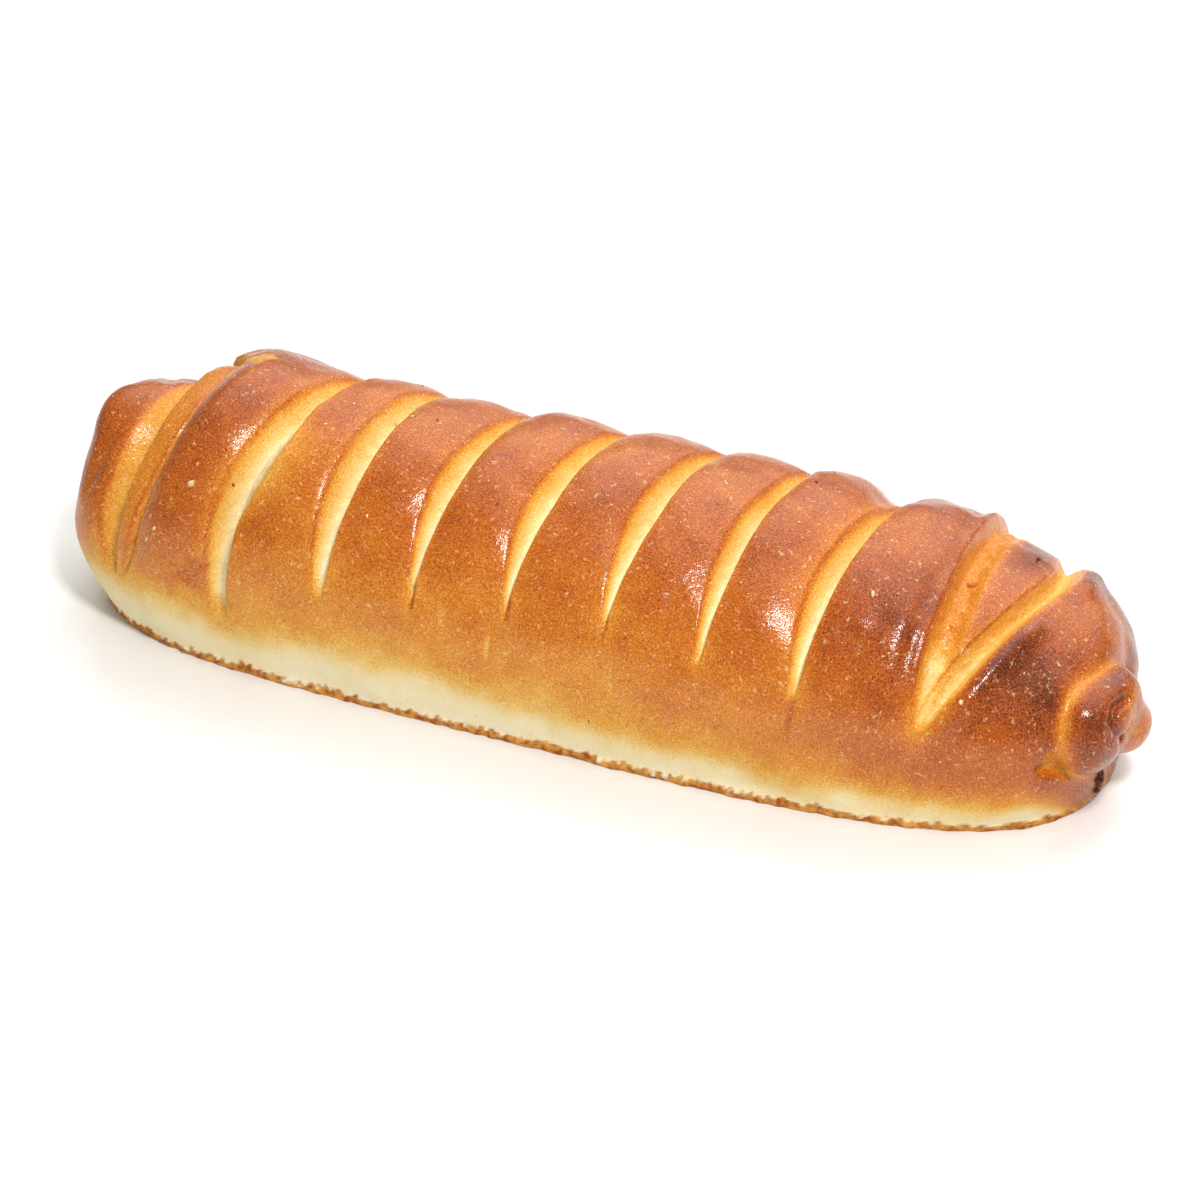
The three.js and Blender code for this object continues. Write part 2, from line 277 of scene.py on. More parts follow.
@dataclass(frozen=True)
class Cut:
    """A straight blade cut across the crown, opened by the oven.

    west is the side towards -X, east the side towards +X. The golds are the widths, in millimetres, over
    which the crust beside the opening stays lighter. floor_bake and high_bake are how brown the opened dough
    is, low on the flank and near the crown; creamy is the share of the wall, from the rim, that is golden.
    bridge is the range of phi where the dough stretched into a soft trough and didn't open.
    """

    at: float
    slant: float
    tip: float
    width: float
    depth: float
    blunt: float = 0.12
    back_slant: float | None = None
    west_share: float = 0.8
    west: Shoulder = Shoulder(4.4, 14)
    east: Shoulder = Shoulder(1.1, 5)
    taper: float = 55
    shoulder_taper: float = 60
    bridge: tuple[float, float] | None = None
    west_gold: float = 0.5
    east_gold: float = 0.6
    floor_bake: float = 0.05
    high_bake: float = 0.07
    creamy: float = 0.42

    @property
    def close(self) -> float:
        """The phi of the back tip."""
        return BACK - self.tip

    def line(self, phi: Array) -> Array:
        """Return the u of the cut's own line at phi."""
        turn = np.clip(phi, self.tip, BACK - self.tip)
        back = self.slant if self.back_slant is None else self.back_slant
        slant = np.where(turn < CROWN, self.slant, back)
        return self.at - slant * BODY.half_width * np.cos(np.radians(turn))

    def opening(self, phi: Array, taper: float) -> Array:
        """Return 0 at the cut's tips and 1 where it has opened fully."""
        return quarter_sine(np.minimum(phi - self.tip, self.close - phi) / taper)

    def bridged(self, phi: Array) -> Array:
        """Return 1 where the dough only stretched, and 0 where it opened."""
        if self.bridge is None:
            return np.zeros_like(phi)
        start, end = self.bridge
        return smoothstep(phi, start - 12, start + 12) * (1 - smoothstep(phi, end - 12, end + 12))

    def walls(self, phi: Array) -> tuple[Array, Array]:
        """Return the widths of the west and the east wall at phi."""
        width = self.width * mix(self.blunt, 1.0, self.opening(phi, self.taper))
        return width * self.west_share, width * (1 - self.west_share) * mix(1.0, 2.4, self.bridged(phi))

    def depth_at(self, u: Array, phi: Array) -> Array:
        """Return how far the cut and its rounded shoulders lie below the plain body."""
        away = u - self.line(phi)
        west, east = self.walls(phi)
        share = np.abs(away) / np.where(away < 0, west, east)
        # The walls bow in a little, and soft rounds the edge where they leave the crust.
        soft = 0.16
        raw = 1 - share**1.35
        cut = np.maximum(0, (raw + np.hypot(raw, soft)) / 2 - soft / 4 * share)
        drop = np.where(away < 0, self.west.drop, self.east.drop)
        reach = np.where(away < 0, self.west.reach, self.east.reach)
        rounding = drop * np.clip(1 - np.abs(away) / reach, 0, 1) ** 2
        opened = self.opening(phi, self.taper) * mix(1.0, 0.5, self.bridged(phi))
        return rounding * self.opening(phi, self.shoulder_taper) + self.depth * opened**0.6 * cut

    def bare(self, u: Array, phi: Array) -> Array:
        """Return 0 on the crust, rising to 1 on the cut's floor, where the dough is bare."""
        away = u - self.line(phi)
        west, east = self.walls(phi)
        share = 1 - np.abs(away) / np.where(away < 0, west, east)
        return np.clip(share, 0, 1) * np.clip(4 * self.opening(phi, self.taper), 0, 1)

    def dough_bake(self, bare: Array, phi: Array) -> Array:
        """Return how brown the opened dough is, from golden at the rim to paler on the floor."""
        floor = mix(self.floor_bake, self.high_bake, smoothstep(phi, 28, 50))
        stops = [0, self.creamy / 3, self.creamy, 0.5 * (1 + self.creamy), 1]
        return mix(0.47, floor, np.interp(bare, stops, [0, 0.2, 0.5, 0.9, 1]))

    def rim(self, u: Array, phi: Array) -> Array:
        """Return 1 on the thin edge of the crust west of the opening, where it has caught the heat."""
        west, _ = self.walls(phi)
        away = (u - self.line(phi) + west) / 0.45
        return np.exp(-(away**2)) * np.clip(self.opening(phi, 25), 0, 1)

    def tip_halo(self, u: Array, phi: Array) -> Array:
        """Return 1 just inside the front and back tips, where the stretched skin stays golden."""
        up = np.minimum(phi - self.tip, self.close - phi)
        return np.exp(-(((u - self.line(phi)) / 2.6) ** 2) - ((up - 5) / 9) ** 2)

    def gilding(self, u: Array, phi: Array) -> Array:
        """Return 1 at the opening's edge, falling to 0 over the golds outside it."""
        away = u - self.line(phi)
        west, east = self.walls(phi)
        east_gold = mix(self.east_gold, 7.0, self.bridged(phi))
        beyond = np.where(away < 0, (-away - west) / self.west_gold, (away - east) / east_gold)
        return np.exp(-np.clip(beyond, 0, None)) * np.clip(self.opening(phi, 25) * 1.5, 0, 1)


@dataclass(frozen=True)
class BowedCut(Cut):
    """The second arm of a fork: it leaves a straight arm's tip, swings out and comes back.

    It ends at back_tip, and would meet the straight arm again drift degrees further round.
    """

    bow: float = 0.0
    ease: float = 1.0
    peak: float = CROWN
    back_tip: float = BACK
    drift: float = 0.0
    least_gap: float = 0.8

    @property
    def close(self) -> float:
        """The phi of the arm's back tip."""
        return self.back_tip

    def line(self, phi: Array) -> Array:
        """Return the u of the arm's line at phi."""
        front = (phi - self.tip) / (self.peak - self.tip)
        back = (self.back_tip + self.drift - phi) / (self.back_tip + self.drift - self.peak)
        bowed = self.bow * quarter_sine(np.minimum(front, back)) ** self.ease
        return super().line(phi) + self.least_gap + bowed


BODY = PlainBody()

LEFT_STRAIGHT = dict(at=-93.3, slant=0.15, back_slant=0.05, tip=-8, blunt=0.35, taper=30)
RIGHT_STRAIGHT = dict(at=80.9, slant=0.0, tip=8, blunt=0.35, taper=30)

LEFT_FORK = (
    Cut(**LEFT_STRAIGHT, width=8.6, depth=4.2, west_share=0.82, west=Shoulder(7.4, 16), east=Shoulder(1, 4),
        floor_bake=0.2, high_bake=0.23, creamy=0.7),
    BowedCut(**LEFT_STRAIGHT, bow=9.4, ease=0.45, peak=90, back_tip=124, width=3.4, depth=2.4,
             west_share=0.75, west=Shoulder(0.8, 4), east=Shoulder(0.3, 4), floor_bake=0.55, high_bake=0.38),
)
SLITS = (
    Cut(at=-59.4, slant=0.29, back_slant=0.2, tip=-9, width=7.0, depth=4.4, blunt=0.6,
        west=Shoulder(6.4, 19), east=Shoulder(1.4, 8), west_gold=1.5, bridge=(38, 70)),
    Cut(at=-42.3, slant=0.125, tip=9, width=6.8, depth=4.4, blunt=0.35, west_gold=1.2),
    Cut(at=-22.0, slant=0.132, tip=15, width=6.2, depth=4.4),
    Cut(at=-1.2, slant=0.14, tip=18, width=6.6, depth=4.4),
    Cut(at=19.6, slant=0.118, tip=20, width=6.3, depth=4.6),
    Cut(at=39.4, slant=0.092, tip=16, width=5.4, depth=4.6, blunt=0.25),
    Cut(at=60.7, slant=0.12, tip=12, width=6.2, depth=5.2, blunt=0.3, west=Shoulder(6.4, 15), west_gold=2.6),
)
RIGHT_FORK = (
    Cut(**RIGHT_STRAIGHT, width=7.0, depth=3.8, west_share=0.25, west=Shoulder(1.2, 6),
        east=Shoulder(0.3, 12), west_gold=0.4, east_gold=1.5, floor_bake=0.22, high_bake=0.58),
    BowedCut(**RIGHT_STRAIGHT, bow=23.0, ease=1.05, peak=112, back_tip=172, drift=28, width=6.4, depth=3.4,
             west_share=0.82, west=Shoulder(1.0, 12), east=Shoulder(0.3, 4), west_gold=1.6, east_gold=0.5,
             floor_bake=0.25, high_bake=0.3),
)
CUTS: tuple[Cut, ...] = LEFT_FORK + SLITS + RIGHT_FORK


# ---- Single features of the relief ----


@dataclass(frozen=True)
class Fold:
    """A ridge (positive height) or crease (negative) between two values of phi, seen at front and back."""

    height: float
    width: float
    start: float
    end: float
    u: float = 0.0
    lean: float = 0.0

    def height_at(self, u: Array, line: Array | float, phi: Array) -> Array:
        """Return the fold's height along a line of the map."""
        up = up_from_side(phi)
        line = line + self.lean * (up - 60)
        ends = smoothstep(up, self.start - 8, self.start + 12)
        ends *= 1 - smoothstep(up, self.end - 8, self.end + 12)
        return self.height * ends * np.exp(-(((u - line) / self.width) ** 2))


@dataclass(frozen=True)
class Crack:
    """A hairline tear that runs down the flank from a slit's tip, or a scuff of the same shape."""

    u: float
    top: float
    bottom: float
    width: float
    depth: float
    tint: float
    lean: float = 0.0

    def share(self, u: Array, phi: Array) -> Array:
        """Return 1 on the crack's line and 0 away from it."""
        line = self.u + self.lean * (phi - self.bottom) / (self.top - self.bottom)
        ends = smoothstep(phi, self.bottom - 1, self.bottom + 2)
        ends *= 1 - smoothstep(phi, self.top - 2, self.top + 1)
        return ends * np.exp(-(((u - line) / self.width) ** 2))


@dataclass(frozen=True)
class Tear:
    """A rough patch where the skin of the dough has torn or blistered."""

    u: float
    phi: float
    across: float
    along: float
    depth: float
    bake: float

    def share(self, u: Array, phi: Array) -> Array:
        """Return 1 in the middle of the patch and 0 outside it."""
        away = np.hypot((u - self.u) / self.across, (phi - self.phi) / self.along)
        ragged = 0.28 * Unevenness(3.6, seed=14).at(np.stack([u, 0.6 * phi, np.zeros_like(u)], -1))
        return 1 - smoothstep(away + ragged * (away < 2), 0.5, 0.95)


@dataclass(frozen=True)
class Swelling:
    """A place where the dough rose a little more (positive height) or less than its surroundings."""

    u: float
    phi: float
    height: float
    across: float
    along: float

    def height_at(self, u: Array, phi: Array) -> Array:
        """Return the swelling's height."""
        away = ((u - self.u) / self.across) ** 2 + ((phi - self.phi) / self.along) ** 2
        return self.height * np.exp(-away)


SWELLINGS = (
    Swelling(u=-109.5, phi=80, height=1.9, across=5, along=18),
    Swelling(u=-102.5, phi=118, height=-2.2, across=6, along=22),
    Swelling(u=-68, phi=128, height=-2.4, across=9, along=25),
    Swelling(u=-40, phi=124, height=-1.1, across=6, along=22),
    Swelling(u=57, phi=146, height=-2.8, across=4, along=28),
    Swelling(u=81, phi=147, height=3.0, across=4, along=22),
    Swelling(u=106, phi=155, height=0.9, across=7, along=25),
)
CAP_RIDGE = Fold(height=1.6, width=3.2, start=8, end=62)
CAP_RIDGE_OFFSET = 3.6
FOLDS = (
    Fold(height=-0.9, width=1.6, start=25, end=80, u=76.6),
    Fold(height=-0.8, width=1.4, start=25, end=76, u=-105.4, lean=0.14),
)
CRACKS = (
    Crack(u=-26.3, top=22, bottom=13, width=0.4, depth=0.8, tint=0.3),
    Crack(u=-5.6, top=24, bottom=16, width=0.35, depth=0.7, tint=0.3, lean=0.3),
    Crack(u=15.4, top=25, bottom=18, width=0.35, depth=0.5, tint=0.25, lean=0.5),
    Crack(u=55.4, top=13, bottom=1, width=0.6, depth=0.7, tint=0.12, lean=0.8),
    Crack(u=-19.0, top=18, bottom=9, width=0.6, depth=0.25, tint=-0.1, lean=-1.0),
    Crack(u=-9.4, top=10, bottom=1, width=0.6, depth=0.3, tint=-0.16, lean=0.4),
    Crack(u=18.4, top=14, bottom=-2, width=0.5, depth=0.25, tint=-0.05, lean=-0.3),
)
TEARS = (
    Tear(u=-78.0, phi=6, across=4.2, along=7.5, depth=0.6, bake=0.64),
    Tear(u=-79.0, phi=103, across=4.2, along=9, depth=0.2, bake=0.4),
    Tear(u=-56.3, phi=-5, across=1.6, along=3.2, depth=0.2, bake=0.36),
    Tear(u=82.2, phi=82, across=1.1, along=2.2, depth=0.8, bake=0.72),
)


@dataclass(frozen=True)
class Pocket:
    """The three-cornered hollow below the knob. Corners are (u, phi)."""

    corners: tuple[tuple[float, float], ...] = ((108, 7), (102.6, -9), (113, -23))
    depth: float = 3.0
    edge: float = 2.2
    mm_per_degree: float = 0.5

    def share(self, u: Array, phi: Array) -> Array:
        """Return 1 in the pocket and 0 outside it."""
        y = phi * self.mm_per_degree
        inside = np.full(u.shape, np.inf)
        for (u0, phi0), (u1, phi1) in zip(self.corners, self.corners[1:] + self.corners[:1]):
            side = (u1 - u0, (phi1 - phi0) * self.mm_per_degree)
            cross = (y - phi0 * self.mm_per_degree) * side[0] - (u - u0) * side[1]
            inside = np.minimum(inside, cross / math.hypot(*side))
        return smoothstep(inside, 0, self.edge)


POCKET = Pocket()


def up_from_side(phi: Array) -> Array:
    """Return the degrees from the nearer side up to phi, alike at the front and the back."""
    return CROWN - np.abs(phi - CROWN)


# ---- The knob ----


@dataclass(frozen=True)
class Lobe:
    """One rounded lump of the knob."""

    centre: tuple[float, float, float]
    radii: tuple[float, float, float]

    def distance(self, points: Array) -> Array:
        """Return roughly the distance to the lobe's surface, less than 0 inside."""
        radii = np.array(self.radii)
        scaled = (points - np.array(self.centre)) / radii
        length = np.linalg.norm(scaled, axis=-1)
        return length * (length - 1) / np.linalg.norm(scaled / radii, axis=-1)


@dataclass(frozen=True)
class Knob:
    """The inner roll's end, curled up on itself: an upright lobe, the curl behind it, and their join."""

    heart: tuple[float, float, float] = (111.5, -9.5, 19.0)
    lobes: tuple[Lobe, ...] = (
        Lobe((110.2, -14.2, 19.7), (7.7, 9.1, 9.7)),
        Lobe((115.2, -3.6, 15.3), (5.8, 6.4, 6.0)),
        Lobe((113.4, -7.0, 23.0), (5.6, 7.5, 6.0)),
    )
    blend: float = 4.0
    crease: tuple[tuple[float, float, float], ...] = (
        (117.4, -10.6, 26.6), (115.9, -15, 26.8), (115.8, -17.2, 25), (116.6, -17, 22.4),
        (117.6, -13.6, 18.4),
    )
    crease_depth: float = 1.9
    crease_width: float = 1.1
    farthest: float = 30.0
    segments: int = 110
    rings: int = 70

    def distance(self, points: Array) -> Array:
        """Return roughly the distance to the knob's surface, less than 0 inside."""
        near = self.lobes[0].distance(points)
        for lobe in self.lobes[1:]:
            other = lobe.distance(points)
            overlap = np.maximum(self.blend - np.abs(near - other), 0)
            near = np.minimum(near, other) - overlap**2 / (4 * self.blend)
        return near

    def crease_share(self, points: Array) -> Array:
        """Return 1 along the curl's crease and 0 away from it."""
        away = nearest_on_path(points, np.array(self.crease, float))
        return np.exp(-((away / self.crease_width) ** 2))

    def mesh(self) -> tuple[Array, list[list[int]]]:
        """Build the knob.

        Returns:
            Its vertices in millimetres and its faces.
        """
        turn = np.linspace(0, 2 * np.pi, self.segments, endpoint=False)
        tilt = np.linspace(-np.pi / 2, np.pi / 2, self.rings + 1)[1:-1]
        turns, tilts = np.meshgrid(turn, tilt)
        rounds = np.stack([np.cos(tilts) * np.cos(turns), np.cos(tilts) * np.sin(turns), np.sin(tilts)], -1)
        ways = np.concatenate([rounds.reshape(-1, 3), [[0, 0, -1], [0, 0, 1]]])
        heart = np.array(self.heart)

        def inside(away: Array) -> Array:
            """Tell whether the rays are still in the knob at these distances."""
            return self.distance(heart + ways * away[:, None]) < 0

        near = np.zeros(len(ways))
        reach = boundary(near, near + self.farthest, inside)
        surface = heart + ways * reach[:, None]
        reach = reach - self.crease_depth * self.crease_share(surface)
        reach += 0.16 * Unevenness(7, seed=21).at(surface)
        points = heart + ways * reach[:, None]
        count = self.segments
        faces = []
        for ring in range(self.rings - 2):
            for segment in range(count):
                after = (segment + 1) % count
                row, above = ring * count, (ring + 1) * count
                faces.append([row + segment, row + after, above + after, above + segment])
        south, north = len(points) - 2, len(points) - 1
        top = (self.rings - 2) * count
        for segment in range(count):
            after = (segment + 1) % count
            faces.append([south, after, segment])
            faces.append([north, top + segment, top + after])
        return points, faces


KNOB = Knob()


# ---- Finishes ----


def linear(hex_colour: str) -> tuple[float, float, float, float]:
    """Turn an sRGB hex colour into linear values.

    Args:
        hex_colour: six hex digits after a hash sign.

    Returns:
        Red, green, blue and an alpha of 1, linear.
    """
    channels = [int(hex_colour[i : i + 2], 16) / 255 for i in (1, 3, 5)]
    lit = [c / 12.92 if c <= 0.04045 else ((c + 0.055) / 1.055) ** 2.4 for c in channels]
    return (*lit, 1.0)


def add_node(
    tree: bpy.types.NodeTree, kind: str, inputs: dict | None = None, **settings: object
) -> bpy.types.Node:
    """Add a node with its settings and links.

    Args:
        tree: the material's node tree.
        kind: the node's type name.
        inputs: socket name or number to a value, or to the output socket that feeds it.
        settings: the node's own properties.

    Returns:
        The new node.
    """
    node = tree.nodes.new(kind)
    for name, value in settings.items():
        setattr(node, name, value)
    for name, value in (inputs or {}).items():
        if isinstance(value, bpy.types.NodeSocket):
            tree.links.new(value, node.inputs[name])
        else:
            node.inputs[name].default_value = value
    return node


NOISE, RANGE, MATH = "ShaderNodeTexNoise", "ShaderNodeMapRange", "ShaderNodeMath"
BUMP, COLOUR_MIX = "ShaderNodeBump", "ShaderNodeMix"
# Socket numbers of the Mix node's colour side, whose names are shared with its other sides.
FACTOR, FIRST, SECOND, BLEND = 0, 6, 7, 2
# The range that a noise texture mostly stays in.
MIDDLE_HALF = {"From Min": 0.25, "From Max": 0.75}


def new_material(name: str) -> tuple[bpy.types.Material, bpy.types.NodeTree]:
    """Return a new material and its emptied node tree."""
    material = bpy.data.materials.new(name)
    material.use_nodes = True
    material.node_tree.nodes.clear()
    return material, material.node_tree


def per_metre(millimetres: float) -> float:
    """Return the texture scale that repeats about once in so many millimetres."""
    return 1 / (millimetres * MM)


class Toasting(Enum):
    """Stops of the crust's colour, from raw-looking crumb to burnt, with their place from 0 to 1."""

    CRUMB = (0.0, "#f7ecca")
    CREAM = (0.12, "#f3e1b0")
    STRAW = (0.25, "#ecc777")
    HONEY = (0.38, "#e2a23a")
    AMBER = (0.5, "#d58329")
    CHESTNUT = (0.64, "#c26613")
    RUSSET = (0.78, "#a84c0c")
    MAHOGANY = (0.9, "#84370c")
    BURNT = (1.0, "#55220c")


@dataclass(frozen=True)
class GlazedCrust:
    """Wheat dough brushed with egg and baked.

    The egg dries to a thin varnish over the brown skin, so the crust has soft, broken highlights. Where the
    dough tore open in the oven it has no egg on it, and is pale and dull.
    """

    ior: float = 1.45
    crust_roughness: float = 0.55
    crumb_roughness: float = 0.62
    glaze_weight: float = 0.8
    glaze_roughness: float = 0.17
    grain_mm: float = 0.36
    blister_mm: float = 1.0
    mottle_mm: float = 9.0
    sand_mm: float = 1.15
    fried_mm: float = 1.6
    crumb_mm: float = 1.1
    patchiness: float = 0.035
    graininess: float = 0.13
    blister_rise: float = 0.09
    pore_depth: float = 0.12
    glazed_depth: float = 0.028
    crumb_rise: float = 0.5
    char_pale: str = "#e0a24e"
    char_dark: str = "#a2551e"
    dust: str = "#eccb95"

    def make(self) -> bpy.types.Material:
        """Return the crust's material."""
        material, tree = new_material("egg_glazed_bread_crust")
        add = partial(add_node, tree)
        place = add("ShaderNodeTexCoord").outputs["Object"]
        bake, torn, char = (
            add("ShaderNodeAttribute", attribute_name=name).outputs["Fac"]
            for name in ("bake", "torn", "char")
        )
        patches = add(NOISE, {"Vector": place, "Scale": per_metre(self.mottle_mm), "Detail": 4.0})
        mottle = patches.outputs["Fac"]
        pores = add("ShaderNodeTexVoronoi", {"Vector": place, "Scale": per_metre(self.grain_mm)})
        dusted = self.toasted_dough(add, place, bake, mottle)
        colour = add(COLOUR_MIX, {
            FACTOR: char, FIRST: dusted, SECOND: self.bottom_crust(add, place),
        }, data_type="RGBA")

        # Brown skin carries the egg and shines. Pale dough doesn't.
        skin = add(RANGE, {"Value": bake, "From Min": 0.2, "From Max": 0.65}).outputs["Result"]
        rough = add(RANGE, {"Value": skin, "To Min": self.crumb_roughness, "To Max": self.crust_roughness})
        uneven = add(MATH, {0: mottle, 1: 0.16, 2: rough.outputs["Result"]}, operation="MULTIPLY_ADD")
        glaze = add(MATH, {0: skin, 1: self.glaze_weight}, operation="MULTIPLY")

        # Blisters lift the skin, pores pit it, and the egg half fills the pores. Torn dough is all crumb.
        blisters = add(NOISE, {"Vector": place, "Scale": per_metre(self.blister_mm), "Detail": 2.0})
        lifted = add(BUMP, {"Height": blisters.outputs["Fac"], "Distance": self.blister_rise * MM})
        pitted, glazed = (
            add(BUMP, {
                "Height": pores.outputs["Distance"],
                "Distance": depth * MM,
                "Normal": lifted.outputs["Normal"],
            })
            for depth in (self.pore_depth, self.glazed_depth)
        )
        crumb = add(NOISE, {"Vector": place, "Scale": per_metre(self.crumb_mm), "Detail": 3.0})
        open_dough = add(MATH, {0: crumb.outputs["Fac"], 1: torn}, operation="MULTIPLY")
        rough_dough = add(BUMP, {
            "Height": open_dough.outputs[0],
            "Distance": self.crumb_rise * MM,
            "Normal": pitted.outputs["Normal"],
        })

        shader = add("ShaderNodeBsdfPrincipled", {
            "Base Color": colour.outputs[BLEND],
            "Roughness": uneven.outputs[0],
            "IOR": self.ior,
            "Normal": rough_dough.outputs["Normal"],
            "Specular IOR Level": 0.2,
            "Coat Weight": glaze.outputs[0],
            "Coat Roughness": self.glaze_roughness,
            "Coat Normal": glazed.outputs["Normal"],
        })
        add("ShaderNodeOutputMaterial", {"Surface": shader.outputs["BSDF"]})
        return material

    def toasted_dough(self, add: Callable, place: Socket, bake: Socket, mottle: Socket) -> Socket:
        """Colour the dough by how far it is baked.

        Args:
            add: adds a node to the material's tree.
            place: the position in the roll.
            bake: how brown the dough is, from 0 to 1.
            mottle: patches as wide as a fingertip, from 0 to 1.

        Returns:
            The socket with the dough's colour.
        """
        # The real pores are finer still: the grain is drawn as coarse as it needs to be to show. It fades on
        # pale dough, which is smooth.
        grain = add(NOISE, {"Vector": place, "Scale": per_metre(self.grain_mm), "Detail": 2.0})
        patchy, grainy = (
            add(RANGE, {"Value": noise, **MIDDLE_HALF, "To Min": -spread, "To Max": spread})
            for noise, spread in ((mottle, self.patchiness), (grain.outputs["Fac"], self.graininess))
        )
        browned = add(RANGE, {"Value": bake, "From Min": 0.1, "From Max": 0.6, "To Min": 0.35, "To Max": 1.6})
        calmed = add(MATH, {0: grainy.outputs["Result"], 1: browned.outputs["Result"]}, operation="MULTIPLY")
        shift = add(MATH, {0: patchy.outputs["Result"], 1: calmed.outputs[0]}, operation="ADD")
        toasted = add(MATH, {0: bake, 1: shift.outputs[0]}, operation="ADD")
        ramp = add("ShaderNodeValToRGB", {"Fac": toasted.outputs[0]})
        stops = ramp.color_ramp.elements
        stops.remove(stops[1])
        for toasting in Toasting:
            share, hex_colour = toasting.value
            stops.new(share).color = linear(hex_colour)
        stops.remove(stops[0])

        # Flour and fine semolina baked into the skin, too small to model.
        sand = add(NOISE, {
            "Vector": place, "Scale": per_metre(self.sand_mm), "Detail": 3.0, "Roughness": 0.7,
        })
        faint = add(RANGE, {"Value": sand.outputs["Fac"], "From Min": 0.61, "From Max": 0.68, "To Max": 0.55})
        return add(COLOUR_MIX, {
            FACTOR: faint.outputs["Result"], FIRST: ramp.outputs["Color"], SECOND: linear(self.dust),
        }, data_type="RGBA").outputs[BLEND]

    def bottom_crust(self, add: Callable, place: Socket) -> Socket:
        """Return the colour of the crust that fried against the tray: blotchy, from tan to dark brown."""
        fried = add(NOISE, {"Vector": place, "Scale": per_metre(self.fried_mm), "Detail": 3.0})
        blotch = add(RANGE, {"Value": fried.outputs["Fac"], "From Min": 0.35, "From Max": 0.65})
        return add(COLOUR_MIX, {
            FACTOR: blotch.outputs["Result"], FIRST: linear(self.char_pale), SECOND: linear(self.char_dark),
        }, data_type="RGBA").outputs[BLEND]


@dataclass(frozen=True)
class BakedGrit:
    """Small dry bits baked onto the crust: dull, in patches of two colours that are patch_mm wide."""

    name: str
    pale: str
    toasted: str
    patch_mm: float
    roughness: float
    ior: float = 1.5

    def make(self) -> bpy.types.Material:
        """Return the grit's material."""
        material, tree = new_material(self.name)
        add = partial(add_node, tree)
        place = add("ShaderNodeTexCoord").outputs["Object"]
        noise = add(NOISE, {"Vector": place, "Scale": per_metre(self.patch_mm), "Detail": 2.0})
        patches = add(RANGE, {"Value": noise.outputs["Fac"], "From Min": 0.35, "From Max": 0.65})
        colour = add(COLOUR_MIX, {
            FACTOR: patches.outputs["Result"], FIRST: linear(self.pale), SECOND: linear(self.toasted),
        }, data_type="RGBA")
        shader = add("ShaderNodeBsdfPrincipled", {
            "Base Color": colour.outputs[BLEND], "Roughness": self.roughness, "IOR": self.ior,
        })
        add("ShaderNodeOutputMaterial", {"Surface": shader.outputs["BSDF"]})
        return material


# Coarse semolina and bran that stuck to the egg wash: hard and pale, with a dull face.
TOASTED_SEMOLINA = BakedGrit("toasted_semolina", "#efd6a4", "#c98f4d", patch_mm=1.5, roughness=0.55)
# Crumbs burnt in the oven: dark brown to nearly black, and rough as charcoal.
BURNT_CRUMB = BakedGrit("burnt_crumb", "#7a4a2c", "#35211a", patch_mm=0.8, roughness=0.7)


@dataclass(frozen=True)
class WhiteTable:
    """White acrylic sheet, lightly polished: it takes soft shadows and a faint reflection."""

    white: str = "#f4f3f1"
    ior: float = 1.49
    roughness: float = 0.28

    def make(self) -> bpy.types.Material:
        """Return the table's material."""
        material, tree = new_material("white_acrylic_sheet")
        shader = add_node(tree, "ShaderNodeBsdfPrincipled", {
            "Base Color": linear(self.white), "Roughness": self.roughness, "IOR": self.ior,
        })
        add_node(tree, "ShaderNodeOutputMaterial", {"Surface": shader.outputs["BSDF"]})
        return material


# ---- The roll ----


# How brown the crust is, against the degrees up from the roll's widest line: pale low down, brown on top.
BAKED_BY_HEIGHT = (
    (-26, 0.03), (-20, 0.06), (-15, 0.16), (-10, 0.32), (-4, 0.43), (6, 0.5),
    (16, 0.56), (32, 0.64), (52, 0.72), (76, 0.72), (90, 0.68),
)


